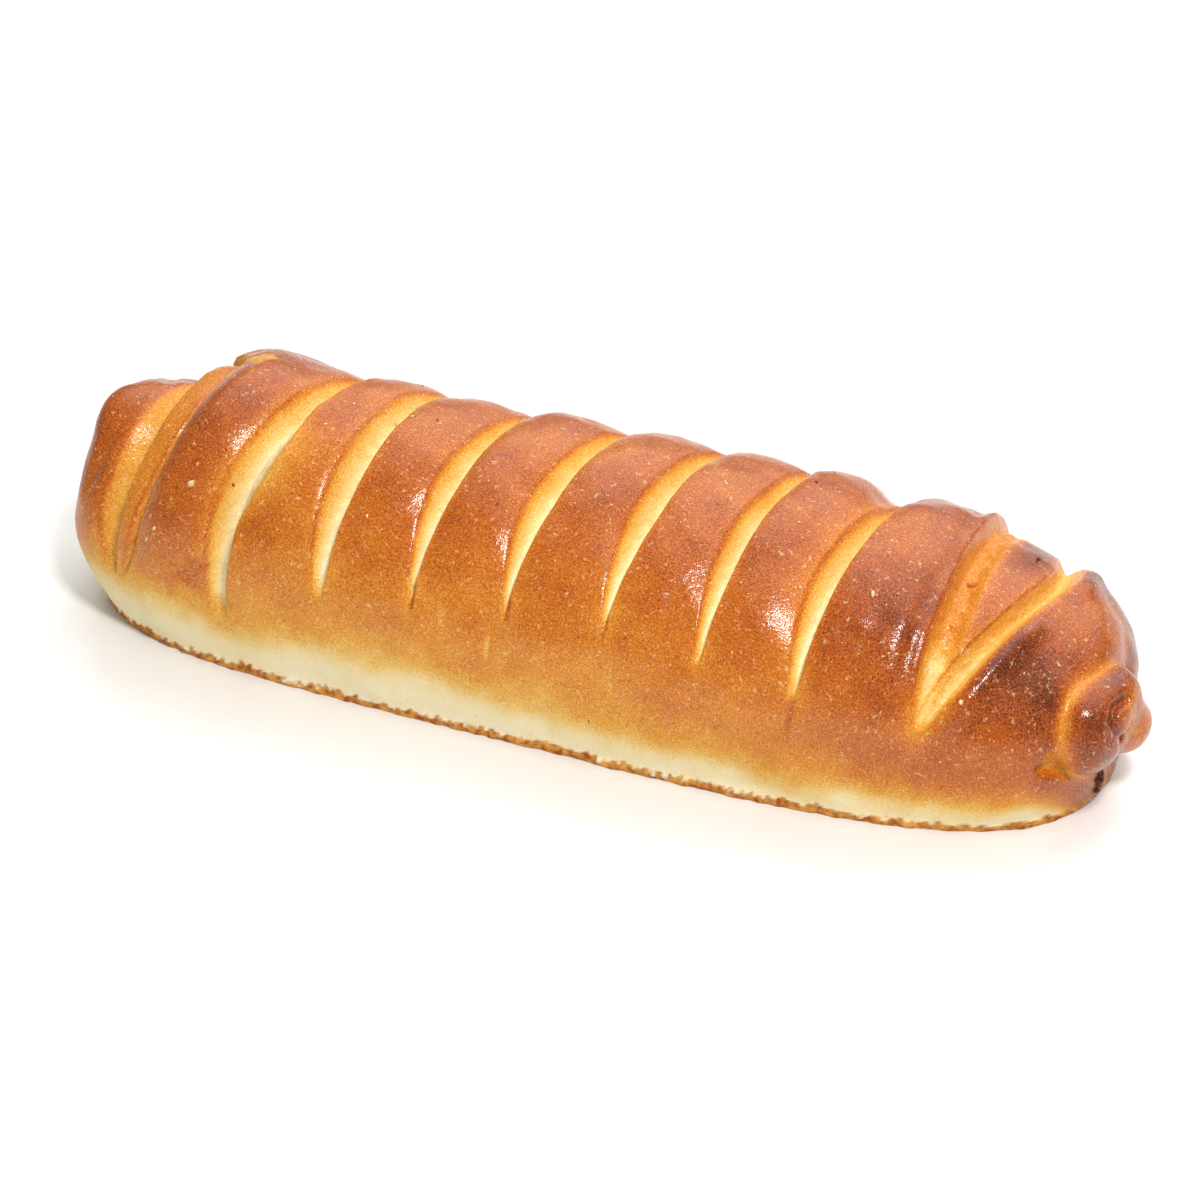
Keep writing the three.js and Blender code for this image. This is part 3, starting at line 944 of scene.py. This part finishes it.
@dataclass
class Roll:
    """The whole roll, one closed skin: body, cuts, bottom crust and knob."""

    strip_levels: tuple[float, ...] = (-1.0, -1.9, 3.0, 0.7, -0.6, -0.1, 0.3, 0.6, 0.9, 1.6, -1.6, -2.2)
    lip_reach: float = 0.5
    lip_height: float = 1.5
    off_table: float = 0.12
    fine_step: float = 0.35
    wide_step: float = 0.7
    fine_reach: tuple[float, float] = (2.6, 6.0)
    row_step: float = 0.9
    girth: float = 150.0
    rim_step: float = 0.36
    rim_girth: float = 2 * math.pi * 34 * 240 / 360
    rim_height: float = 3.2
    base_rows: int = 8
    inner_bake: float = 0.54
    gold_bake: float = 0.45
    bridge_bake: float = 0.32
    rim_bake: float = 0.2
    pocket_bake: float = 0.3
    knob_bake: float = 0.86
    # How dark the knob's crease is painted: painted shade that makes the groove look deeper.
    crease_shade_bake: float = 0.95
    seam_bake: float = 0.44
    seam_reach: float = 1.6
    finish: GlazedCrust = GlazedCrust()

    def guides(self, phi: Array) -> Array:
        """Return the u of the map's guide lines at phi, from the left pole to the right one."""
        flat = np.zeros_like(phi)
        lines = [flat - BODY.pole, flat + BODY.foot_end(-1)]
        lines += [cut.line(phi) for cut in CUTS]
        lines += [flat + BODY.foot_end(1), flat + BODY.pole]
        return np.stack(lines)

    def strip_level(self, u: Array, phi: Array) -> Array:
        """Return how far the strips of dough between the cuts stand over the plain body."""
        flat = np.zeros_like(phi)
        lines = np.stack([flat - BODY.pole, *(cut.line(phi) for cut in CUTS), flat + BODY.pole])
        last = len(self.strip_levels) - 1
        strip = np.clip((lines <= u).sum(0) - 1, 0, last)
        low = np.take_along_axis(lines, strip[None], 0)[0]
        high = np.take_along_axis(lines, strip[None] + 1, 0)[0]
        position = np.clip(strip + (u - low) / (high - low) - 0.5, 0, last)
        west = np.minimum(np.floor(position).astype(int), last - 1)
        levels = np.array(self.strip_levels)
        blended = mix(levels[west], levels[west + 1], smoothstep(position - west, 0.2, 0.8))
        return blended * smoothstep(up_from_side(phi), -8, 47)

    def relief(self, u: Array, phi: Array) -> Array:
        """Return the height of the roll's surface over the plain body."""
        height = self.strip_level(u, phi) - POCKET.depth * POCKET.share(u, phi)
        height += CAP_RIDGE.height_at(u, RIGHT_FORK[1].line(phi) + CAP_RIDGE_OFFSET, phi)
        for cut in CUTS:
            height -= cut.depth_at(u, phi)
        for fold in FOLDS:
            height += fold.height_at(u, fold.u, phi)
        for swelling in SWELLINGS:
            height += swelling.height_at(u, phi)
        for crack in CRACKS:
            height -= crack.depth * crack.share(u, phi)
        for tear in TEARS:
            height -= tear.depth * tear.share(u, phi)
        return height

    def bareness(self, u: Array, phi: Array) -> Array:
        """Return 0 on the crust and up to 1 in the cuts and the pocket."""
        bare = POCKET.share(u, phi)
        for cut in CUTS:
            bare = np.maximum(bare, cut.bare(u, phi))
        return bare

    def unevenness(self, plain: Array, bare: Array) -> Array:
        """Return the small heights that no cut explains: soft lumps on the crust, crumb in the cuts.

        The lumps are sunk by about their own height, so that the roll stays inside its nominal size.
        """
        lumps = 0.3 * Unevenness(24, seed=3).at(plain) + 0.1 * Unevenness(7, seed=5).at(plain) - 0.4
        crumb = 0.16 * Unevenness(1.9, seed=7).at(plain) + 0.2 * Unevenness(4.2, seed=8).at(plain)
        return lumps + crumb * smoothstep(bare, 0.1, 0.6)

    def surface(self, u: Array, phi: Array, on_rim: Array) -> Array:
        """Place the roll's points.

        Args:
            u: map position along the roll.
            phi: map angle round it.
            on_rim: True where the point lies on the table.

        Returns:
            N x 3 positions in millimetres.
        """
        start, way = BODY.rays(u, phi)
        reach = BODY.reach(start, way)
        plain = start + way * reach[..., None]
        height = self.relief(u, phi) + self.unevenness(plain, self.bareness(u, phi))
        height *= np.where(on_rim, 0, smoothstep(plain[..., 2], 0.0, 4.0))
        points = start + way * (reach + height)[..., None]
        ragged = 0.55 + 0.3 * Unevenness(3.1, seed=11).at(plain) + 0.25 * Unevenness(9, seed=12).at(plain)
        over = smoothstep(points[..., 2], self.lip_height * 0.7, self.lip_height * 1.5)
        lip = self.lip_reach * ragged * (1 - over)
        out = points - start
        out[..., 2] = 0
        out /= np.maximum(np.linalg.norm(out, axis=-1, keepdims=True), 1e-9)
        points += out * lip[..., None]
        points[..., 2] = np.where(on_rim, 0, np.maximum(points[..., 2], self.off_table))
        return points

    def steps(self, low: float, high: float, fine_at_low: bool, fine_at_high: bool) -> Array:
        """Divide a strip into columns, finest beside the cuts.

        Args:
            low: u of the strip's west guide line on the crown.
            high: u of its east guide line.
            fine_at_low: whether a cut runs along the west line.
            fine_at_high: whether a cut runs along the east line.

        Returns:
            Shares of the strip's width, from 0, without 1.
        """
        u = np.linspace(low, high, 400)
        to_low = u - low if fine_at_low else np.full_like(u, 99.0)
        to_high = high - u if fine_at_high else np.full_like(u, 99.0)
        near = 1 - smoothstep(np.minimum(to_low, to_high), *self.fine_reach)
        density = 1 / mix(self.wide_step, self.fine_step, near)
        count = np.concatenate([[0], np.cumsum((density[1:] + density[:-1]) / 2 * np.diff(u))])
        columns = max(3, int(round(count[-1])))
        return np.interp(np.arange(columns) * count[-1] / columns, count, (u - low) / (high - low))

    def map_grid(self) -> tuple[Array, Array, Array]:
        """Lay out the skin's grid on the map.

        Returns:
            u and phi of every grid point, columns first, and whether each column closes above the table.
        """
        crown = self.guides(np.array([CROWN]))[:, 0]
        last = len(crown) - 2
        strips, shares = [], []
        for strip in range(last + 1):
            steps = self.steps(crown[strip], crown[strip + 1], 1 < strip <= last, 0 < strip < last)
            steps = steps[1:] if strip == 0 else steps
            strips += [strip] * len(steps)
            shares += list(steps)
        strip, share = np.array(strips), np.array(shares)

        low_lines = self.guides(np.array([UNDER]))[:, 0]
        foot = BODY.foot_phi(mix(low_lines[strip], low_lines[strip + 1], share))
        closed = foot < UNDER + 0.01
        rim_rows = np.arange(0, self.rim_height, self.rim_step) / self.rim_girth
        rest = int(round((1 - 2 * rim_rows[-1]) * self.girth / self.row_step))
        middle = np.linspace(rim_rows[-1], 1 - rim_rows[-1], rest + 1)
        rows = np.concatenate([rim_rows[:-1], middle, (1 - rim_rows[:-1])[::-1]])
        phi = mix(foot[:, None], BACK - foot[:, None], rows[None])
        lines = self.guides(phi)
        index = np.broadcast_to(strip[:, None], phi.shape)[None]
        low = np.take_along_axis(lines, index, 0)[0]
        high = np.take_along_axis(lines, index + 1, 0)[0]
        return mix(low, high, share[:, None]), phi, closed

    def skin(self) -> tuple[Array, list[list[int]], Array, Array]:
        """Build the body's skin without the knob.

        Returns:
            Vertices in millimetres, faces, and every vertex's u and phi.
        """
        u, phi, closed = self.map_grid()
        columns, rows = u.shape
        rim = np.zeros(u.shape, bool)
        rim[:, [0, -1]] = ~closed[:, None]
        points = self.surface(u, phi, rim)
        poles = self.surface(np.array([-BODY.pole, BODY.pole]), np.zeros(2), np.zeros(2, bool))

        # The base spans from the back rim to the front rim, a little hollow between them.
        across = np.linspace(0, 1, self.base_rows + 2)[1:-1]
        base = mix(points[:, -1, None], points[:, 0, None], across[None, :, None])
        hollow = 0.16 + 0.1 * Unevenness(11, seed=31).at(base.reshape(-1, 3)).reshape(base.shape[:2])
        base[..., 2] = np.where(closed[:, None], base[..., 2], np.clip(hollow, 0.02, 0.4))

        ids = np.arange(columns * rows).reshape(columns, rows)
        base_ids = columns * rows + np.arange(columns * self.base_rows).reshape(columns, self.base_rows)
        ring = np.concatenate([ids, base_ids], axis=1)
        ring[closed, rows - 1 :] = ring[closed, :1]
        loop = np.concatenate([ring, ring[:, :1]], axis=1)
        quads = np.stack([loop[:-1, :-1], loop[1:, :-1], loop[1:, 1:], loop[:-1, 1:]], -1).reshape(-1, 4)
        faces = [distinct for quad in quads.tolist() if len(distinct := list(dict.fromkeys(quad))) > 2]
        west = columns * (rows + self.base_rows)
        faces += [[west, a, b] for a, b in zip(loop[0, :-1].tolist(), loop[0, 1:].tolist()) if a != b]
        faces += [[west + 1, b, a] for a, b in zip(loop[-1, :-1].tolist(), loop[-1, 1:].tolist()) if a != b]

        vertices = np.concatenate([points.reshape(-1, 3), base.reshape(-1, 3), poles])
        base_u = np.broadcast_to(u[:, :1], base.shape[:2]).ravel()
        base_phi = np.full(base_u.shape, UNDER)
        all_u = np.concatenate([u.ravel(), base_u, [-BODY.pole, BODY.pole]])
        all_phi = np.concatenate([phi.ravel(), base_phi, [0, 0]])
        return vertices, faces, all_u, all_phi

    def baking(self, u: Array, phi: Array, points: Array) -> dict[str, Array]:
        """Work out how the oven has coloured the body.

        Args:
            u: map position along the roll.
            phi: map angle round it.
            points: the same points in millimetres.

        Returns:
            For each point: bake, from 0 for pale dough to 1 for nearly black; torn, 1 where the dough is
            bare; and char, 1 on the bottom crust.
        """
        # Round the ends the meridians meet, so there the height over the table counts instead of phi.
        low = np.degrees(np.arcsin(np.clip((points[:, 2] - BODY.axis_height) / BODY.half_width, -1, 0)))
        up = np.maximum(up_from_side(phi), low) + 8 * smoothstep(u, -60, 90) - 3 * smoothstep(-u, 40, 90)
        up += 14 * smoothstep(u, 100, 114) + 12 * smoothstep(u, 106, 116)
        bake = np.interp(up + 1.6 * Unevenness(20, seed=41).at(points), *zip(*BAKED_BY_HEIGHT))
        bake += 0.02 * Unevenness(22, seed=42).at(points) + 0.02 * Unevenness(6, seed=43).at(points)
        # The right end was nearer the heat.
        right = 0.1 * smoothstep(u, 20, 80) - 0.06 * smoothstep(u, 106, 115)
        right += 0.13 * smoothstep(u, 62, 92) * (1 - smoothstep(up, 35, 75))
        right -= 0.05 * smoothstep(u, 40, 80) * smoothstep(up, 45, 75)
        right += 0.07 * smoothstep(u, 86, 97) * smoothstep(up, 25, 50)
        bake += right * smoothstep(up, -16, 4) + 0.06 * smoothstep(-u, 58, 72)
        straight, bowed = LEFT_FORK
        inner = smoothstep(u - straight.line(phi), 0, 1.5) * (1 - smoothstep(u - bowed.line(phi), -1, 0.5))
        bake = mix(bake, np.minimum(bake, self.inner_bake), inner)
        for cut in CUTS:
            golden = np.maximum(cut.gilding(u, phi), cut.tip_halo(u, phi))
            gold = mix(self.gold_bake, self.bridge_bake, cut.bridged(phi))
            bake = mix(bake, np.minimum(bake, gold), 0.85 * golden)
            bare = cut.bare(u, phi)
            bake = np.where(bare > 0, np.minimum(cut.dough_bake(bare, phi), bake), bake)
            bake += self.rim_bake * cut.rim(u, phi)
        for crack in CRACKS:
            bake += crack.tint * crack.share(u, phi)
        for tear in TEARS:
            bake = mix(bake, tear.bake + 0.08 * Unevenness(1.2, seed=44).at(points), tear.share(u, phi))
        bake = mix(bake, self.pocket_bake + 0.012 * np.abs(phi - 4), POCKET.share(u, phi))
        ragged = 0.5 * Unevenness(1.5, seed=45).at(points)
        edge = points[:, 2] + ragged + 0.4 * Unevenness(7, seed=46).at(points)
        char = 1 - smoothstep(edge, self.lip_height * 1.05, self.lip_height * 1.4)
        torn = np.max([self.bareness(u, phi), *(tear.share(u, phi) for tear in TEARS)], axis=0)
        return {"bake": np.clip(bake, 0, 1), "torn": torn, "char": char}

    def knob_baking(self, points: Array) -> dict[str, Array]:
        """Return the same fields for the knob, which is the darkest part of the crust."""
        bake = self.knob_bake + 0.05 * Unevenness(9, seed=51).at(points)
        bake -= 0.2 * smoothstep(points[:, 0], 115.5, 119)
        # The crease is painted darker than the rest of the knob: painted shade in the groove, not a browner
        # crust.
        bake = mix(bake, self.crease_shade_bake, 0.8 * KNOB.crease_share(points))
        flat = np.zeros(len(points))
        return {"bake": np.clip(bake, 0, 1), "torn": flat, "char": flat}

    def build(self) -> bpy.types.Object:
        """Build the roll as one closed mesh with its baking as point attributes, and dress it.

        Returns:
            The roll's object.
        """
        skin, skin_faces, u, phi = self.skin()
        knob, knob_faces = KNOB.mesh()
        body = mesh_object("roll_body", skin, skin_faces)
        curl = mesh_object("roll_knob", knob, knob_faces)
        joined = joined_by_union(body, curl, "baked_roll")

        fields = self.baking(u, phi, skin)
        knob_fields = self.knob_baking(knob)
        source = np.concatenate([skin, knob])
        tree = search_tree(source)
        points = vertex_positions(joined)
        nearest = np.array([tree.find(point)[1] for point in points])
        seam = self.seam_share(points, skin, knob, nearest)
        for name, values in fields.items():
            carried = np.concatenate([values, knob_fields[name]])[nearest]
            if name == "bake":
                carried = mix(carried, np.minimum(carried, self.seam_bake), 0.9 * seam)
            attribute = joined.data.attributes.new(name, "FLOAT", "POINT")
            attribute.data.foreach_set("value", carried.astype(np.float32))
        soften(joined, points, smoothstep(seam, 0.2, 0.8), rounds=6)
        joined.data.materials.append(self.finish.make())
        return joined

    def seam_share(self, points: Array, skin: Array, knob: Array, nearest: Array) -> Array:
        """Return 1 where the knob meets the body and 0 away from there."""
        on_knob = nearest >= len(skin)
        share = np.where(on_knob, 0.0, np.exp(-((KNOB.distance(points) / self.seam_reach) ** 2)))
        near_knob = np.linalg.norm(skin - np.array(KNOB.heart), axis=1) < KNOB.farthest
        tree = search_tree(skin[near_knob])
        for index in np.flatnonzero(on_knob):
            share[index] = math.exp(-((tree.find(points[index])[2] / self.seam_reach) ** 2))
        return share


# ---- Mesh helpers ----


def mesh_object(name: str, points: Array, faces: list[list[int]]) -> bpy.types.Object:
    """Make an object from points in millimetres.

    Args:
        name: the object's name.
        points: N x 3 positions in millimetres.
        faces: lists of vertex numbers.

    Returns:
        The object, smooth shaded, in the scene.
    """
    mesh = bpy.data.meshes.new(name)
    mesh.from_pydata((points * MM).tolist(), [], faces)
    mesh.validate()
    mesh.shade_smooth()
    made = bpy.data.objects.new(name, mesh)
    bpy.context.scene.collection.objects.link(made)
    return made


def vertex_positions(piece: bpy.types.Object) -> Array:
    """Return an object's vertices in millimetres."""
    flat = np.empty(len(piece.data.vertices) * 3)
    piece.data.vertices.foreach_get("co", flat)
    return flat.reshape(-1, 3) / MM


def joined_by_union(body: bpy.types.Object, extra: bpy.types.Object, name: str) -> bpy.types.Object:
    """Join two closed meshes into one closed mesh, and remove them.

    Args:
        body: the larger piece.
        extra: the piece that is added to it.
        name: the new object's name.

    Returns:
        The joined object.
    """
    union = body.modifiers.new("union", "BOOLEAN")
    union.operation = "UNION"
    union.solver = "MANIFOLD"
    union.object = extra
    graph = bpy.context.evaluated_depsgraph_get()
    mesh = bpy.data.meshes.new_from_object(body.evaluated_get(graph))
    mesh.name = name
    mesh.materials.clear()

    # The union leaves corners in the middle of edges. They would fold into stray faces once triangulated.
    build = bmesh.new()
    build.from_mesh(mesh)
    spare = [corner for corner in build.verts if len(corner.link_edges) == 2]
    bmesh.ops.dissolve_verts(build, verts=spare)
    build.to_mesh(mesh)
    build.free()

    mesh.shade_smooth()
    joined = bpy.data.objects.new(name, mesh)
    bpy.context.scene.collection.objects.link(joined)
    for old in (body, extra):
        old_mesh = old.data
        bpy.data.objects.remove(old)
        bpy.data.meshes.remove(old_mesh)
    return joined


def soften(piece: bpy.types.Object, points: Array, weight: Array, rounds: int) -> None:
    """Round off a crease by moving vertices towards their neighbours' middle.

    Args:
        piece: the object to change.
        points: its vertices in millimetres.
        weight: how far each vertex may move, from 0 to 1.
        rounds: how often the move is repeated.
    """
    edges = np.empty(len(piece.data.edges) * 2, np.int64)
    piece.data.edges.foreach_get("vertices", edges)
    first, second = edges.reshape(-1, 2).T
    degree = np.bincount(edges, minlength=len(points))[:, None]
    for _ in range(rounds):
        total = np.zeros_like(points)
        np.add.at(total, first, points[second])
        np.add.at(total, second, points[first])
        points = mix(points, total / np.maximum(degree, 1), 0.5 * weight[:, None])
    piece.data.vertices.foreach_set("co", (points * MM).ravel())
    piece.data.update()


# ---- Things that lie on the crust ----


@dataclass(frozen=True)
class Speck:
    """One fleck or crumb given one by one: where it sits on the map, and its half length."""

    u: float
    phi: float
    half_length: float


@dataclass
class Scatter:
    """A kind of small bit stuck to the crust, all of one kind in one mesh."""

    name: str
    placed: tuple[Speck, ...]
    count: int
    half_lengths: tuple[float, float]
    flatness: float
    proud: float
    seed: int
    finish: BakedGrit
    phi_range: tuple[float, float] = (-8, 188)

    def bit(self, random: np.random.Generator) -> tuple[Array, list[list[int]]]:
        """Make one rough pebble of about unit half length.

        Args:
            random: the scatter's random numbers.

        Returns:
            Its vertices, longest along x and thinnest along z, and its faces.
        """
        around, levels = 7, (-0.75, 0.0, 0.75)
        points = [[0, 0, -1.0]]
        for level in levels:
            radius = math.sqrt(1 - level**2)
            for step in range(around):
                turn = 2 * math.pi * (step + 0.5 * (level != 0)) / around
                points.append([radius * math.cos(turn), radius * math.sin(turn), level])
        points.append([0, 0, 1.0])
        shape = np.array(points) * random.uniform(0.72, 1.2, size=(len(points), 1))
        shape *= [1.0, random.uniform(0.45, 0.8), self.flatness]
        faces = []
        for step in range(around):
            after = (step + 1) % around
            faces.append([0, 1 + after, 1 + step])
            for ring in range(len(levels) - 1):
                row, above = 1 + ring * around, 1 + (ring + 1) * around
                faces.append([row + step, row + after, above + after, above + step])
            top = 1 + (len(levels) - 1) * around
            faces.append([len(points) - 1, top + step, top + after])
        return shape, faces

    def build(self, roll: Roll) -> bpy.types.Object:
        """Scatter the bits over the roll and dress them.

        Args:
            roll: gives the surface that they sit on.

        Returns:
            One mesh object with all the bits.
        """
        random = np.random.default_rng(self.seed)
        low, high = self.half_lengths
        specks = list(self.placed)
        while len(specks) < len(self.placed) + self.count:
            u, phi = random.uniform(-112, 112), random.uniform(*self.phi_range)
            if roll.bareness(np.array([u]), np.array([phi]))[0] < 0.05:
                specks.append(Speck(u, phi, low * (high / low) ** random.uniform() ** 2))
        vertices, faces = [], []
        for speck in specks:
            u = np.array([speck.u, speck.u + 0.4, speck.u])
            phi = np.array([speck.phi, speck.phi, speck.phi + 0.7])
            spot, east, over = roll.surface(u, phi, np.zeros(3, bool))
            normal = np.cross(east - spot, over - spot)
            normal /= np.linalg.norm(normal)
            turn = random.uniform(0, 2 * np.pi)
            side = np.cross(normal, [math.cos(turn), math.sin(turn), 0.3])
            side /= np.linalg.norm(side)
            axes = np.stack([side, np.cross(normal, side), normal])
            shape, bit_faces = self.bit(random)
            start = sum(len(block) for block in vertices)
            vertices.append(spot + normal * self.proud * speck.half_length + shape * speck.half_length @ axes)
            faces += [[start + corner for corner in face] for face in bit_faces]
        bits = mesh_object(self.name, np.concatenate(vertices), faces)
        bits.data.materials.append(self.finish.make())
        return bits


PALE_FLECKS = Scatter(
    name="pale_flecks",
    placed=(
        Speck(-82.5, 88, 1.15), Speck(-79.2, 39, 1.0), Speck(-87.4, 24.5, 0.6), Speck(-86.2, 20.5, 0.7),
        Speck(-88.2, 15, 0.7), Speck(-78.9, 46, 0.6), Speck(66.8, 52, 0.95), Speck(39, 101, 0.8),
        Speck(-45, 92.5, 0.8), Speck(-47, 91, 0.6), Speck(0.4, 109, 0.8), Speck(11.5, 92, 0.6),
        Speck(88.6, 21, 0.6), Speck(74.6, 33, 0.55), Speck(84.5, 96, 0.7), Speck(104, 101, 0.9),
    ),
    count=300,
    half_lengths=(0.13, 0.5),
    flatness=0.3,
    proud=0.1,
    seed=61,
    finish=TOASTED_SEMOLINA,
)
DARK_CRUMBS = Scatter(
    name="dark_crumbs",
    placed=(
        Speck(-71.6, 42.5, 0.4), Speck(64, 125, 0.55), Speck(94, 124, 0.55), Speck(39.5, 125, 0.45),
        Speck(45, 108, 0.35), Speck(-34.6, 88.5, 0.35), Speck(-73, 48, 0.25), Speck(13.5, -12, 0.25),
        Speck(116.6, -53, 1.2), Speck(117.4, -49, 1.0), Speck(115.6, -57, 1.1), Speck(117.9, -45, 0.8),
        Speck(114.4, -60, 0.9), Speck(116.2, -48, 0.7),
    ),
    count=26,
    half_lengths=(0.1, 0.3),
    flatness=0.6,
    proud=0.35,
    seed=62,
    finish=BURNT_CRUMB,
)


# ---- The studio ----


@dataclass(frozen=True)
class Softbox:
    """A square softbox that shines on the roll from one side. Sizes in millimetres."""

    way: tuple[float, float, float]
    distance: float
    side: float
    watts: float
    mirrored: bool = True

    def hang(self, name: str) -> None:
        """Hang the softbox, facing the roll. One that isn't mirrored gives no highlight."""
        data = bpy.data.lights.new(name, "AREA")
        data.size = self.side * MM
        data.energy = self.watts
        softbox = bpy.data.objects.new(name, data)
        way = Vector(self.way).normalized()
        softbox.location = way * self.distance * MM
        softbox.visible_glossy = self.mirrored
        softbox.rotation_euler = way.to_track_quat("Z", "Y").to_euler()
        bpy.context.scene.collection.objects.link(softbox)


@dataclass(frozen=True)
class Studio:
    """White table, a small key softbox above, wide soft ones in front and behind, and the camera."""

    azimuth: float = 21.6
    elevation: float = 33.0
    distance: float = 818.0
    aim_height: float = 20.6
    lens: float = 117.3
    sensor_width: float = 36.0
    shift: tuple[float, float] = (0.005, -0.0199)
    key: Softbox = Softbox(way=(0.36, -0.34, 0.87), distance=900, side=150, watts=5.0)
    fill: Softbox = Softbox(way=(0.1, -0.95, 0.3), distance=1400, side=900, watts=5.4, mirrored=False)
    back: Softbox = Softbox(way=(0.05, 0.6, 0.8), distance=1200, side=560, watts=3.5, mirrored=False)
    room_strength: float = 0.17
    ceiling_strength: float = 2.0
    ceiling_spread: tuple[float, float] = (0.6, 1.0)
    table_side: float = 6000.0
    top: WhiteTable = WhiteTable()

    def camera(self) -> None:
        """Place the camera at the photograph's viewing angle."""
        turn, tilt = math.radians(self.azimuth), math.radians(self.elevation)
        back = Vector((math.sin(turn) * math.cos(tilt), -math.cos(turn) * math.cos(tilt), math.sin(tilt)))
        right = Vector((math.cos(turn), math.sin(turn), 0))
        data = bpy.data.cameras.new("camera")
        data.sensor_width = self.sensor_width
        data.lens = self.lens
        data.shift_x, data.shift_y = self.shift
        camera = bpy.data.objects.new("camera", data)
        place = (back * self.distance + Vector((0, 0, self.aim_height))) * MM
        turned = Matrix((right, back.cross(right), back)).transposed().to_4x4()
        camera.matrix_world = Matrix.Translation(place) @ turned
        bpy.context.scene.collection.objects.link(camera)
        bpy.context.scene.camera = camera

    def lights(self) -> None:
        """Hang the softboxes and light the room."""
        self.key.hang("key_softbox")
        self.fill.hang("fill_softbox")
        self.back.hang("back_softbox")
        world = bpy.data.worlds.new("white_room")
        world.use_nodes = True
        tree = world.node_tree
        # The white ceiling behind the roll is lit, and fades into the dimmer room without an edge.
        way = add_node(tree, "ShaderNodeTexCoord").outputs["Generated"]
        towards = add_node(tree, "ShaderNodeVectorMath", {0: way, 1: self.back.way}, operation="DOT_PRODUCT")
        edge, middle = self.ceiling_spread
        glow = add_node(tree, RANGE, {
            "Value": towards.outputs["Value"], "From Min": edge, "From Max": middle,
            "To Min": self.room_strength, "To Max": self.ceiling_strength,
        }, interpolation_type="SMOOTHSTEP")
        background = tree.nodes["Background"]
        background.inputs["Color"].default_value = (1, 1, 1, 1)
        tree.links.new(glow.outputs["Result"], background.inputs["Strength"])
        bpy.context.scene.world = world
        bpy.context.scene.view_settings.view_transform = "Standard"

    def table(self) -> bpy.types.Object:
        """Return the table top, just below the roll."""
        half = self.table_side / 2
        corners = np.array([[-half, -half, 0], [half, -half, 0], [half, half, 0], [-half, half, 0]], float)
        table = mesh_object("table_top", corners, [[0, 1, 2, 3]])
        table.data.materials.append(self.top.make())
        return table


def main() -> None:
    """Set up the studio, and build the roll and what is baked onto it."""
    logging.basicConfig(level=logging.INFO, format="%(name)s: %(message)s")
    roll = Roll()
    studio = Studio()
    studio.camera()
    studio.lights()
    studio.table()

    baked = roll.build()
    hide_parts("sausage_roll")
    for piece in (baked, PALE_FLECKS.build(roll), DARK_CRUMBS.build(roll)):
        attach(piece, "root")
        LOG.info("%s: %d faces", piece.name, len(piece.data.polygons))


if __name__ == "__main__":
    main()
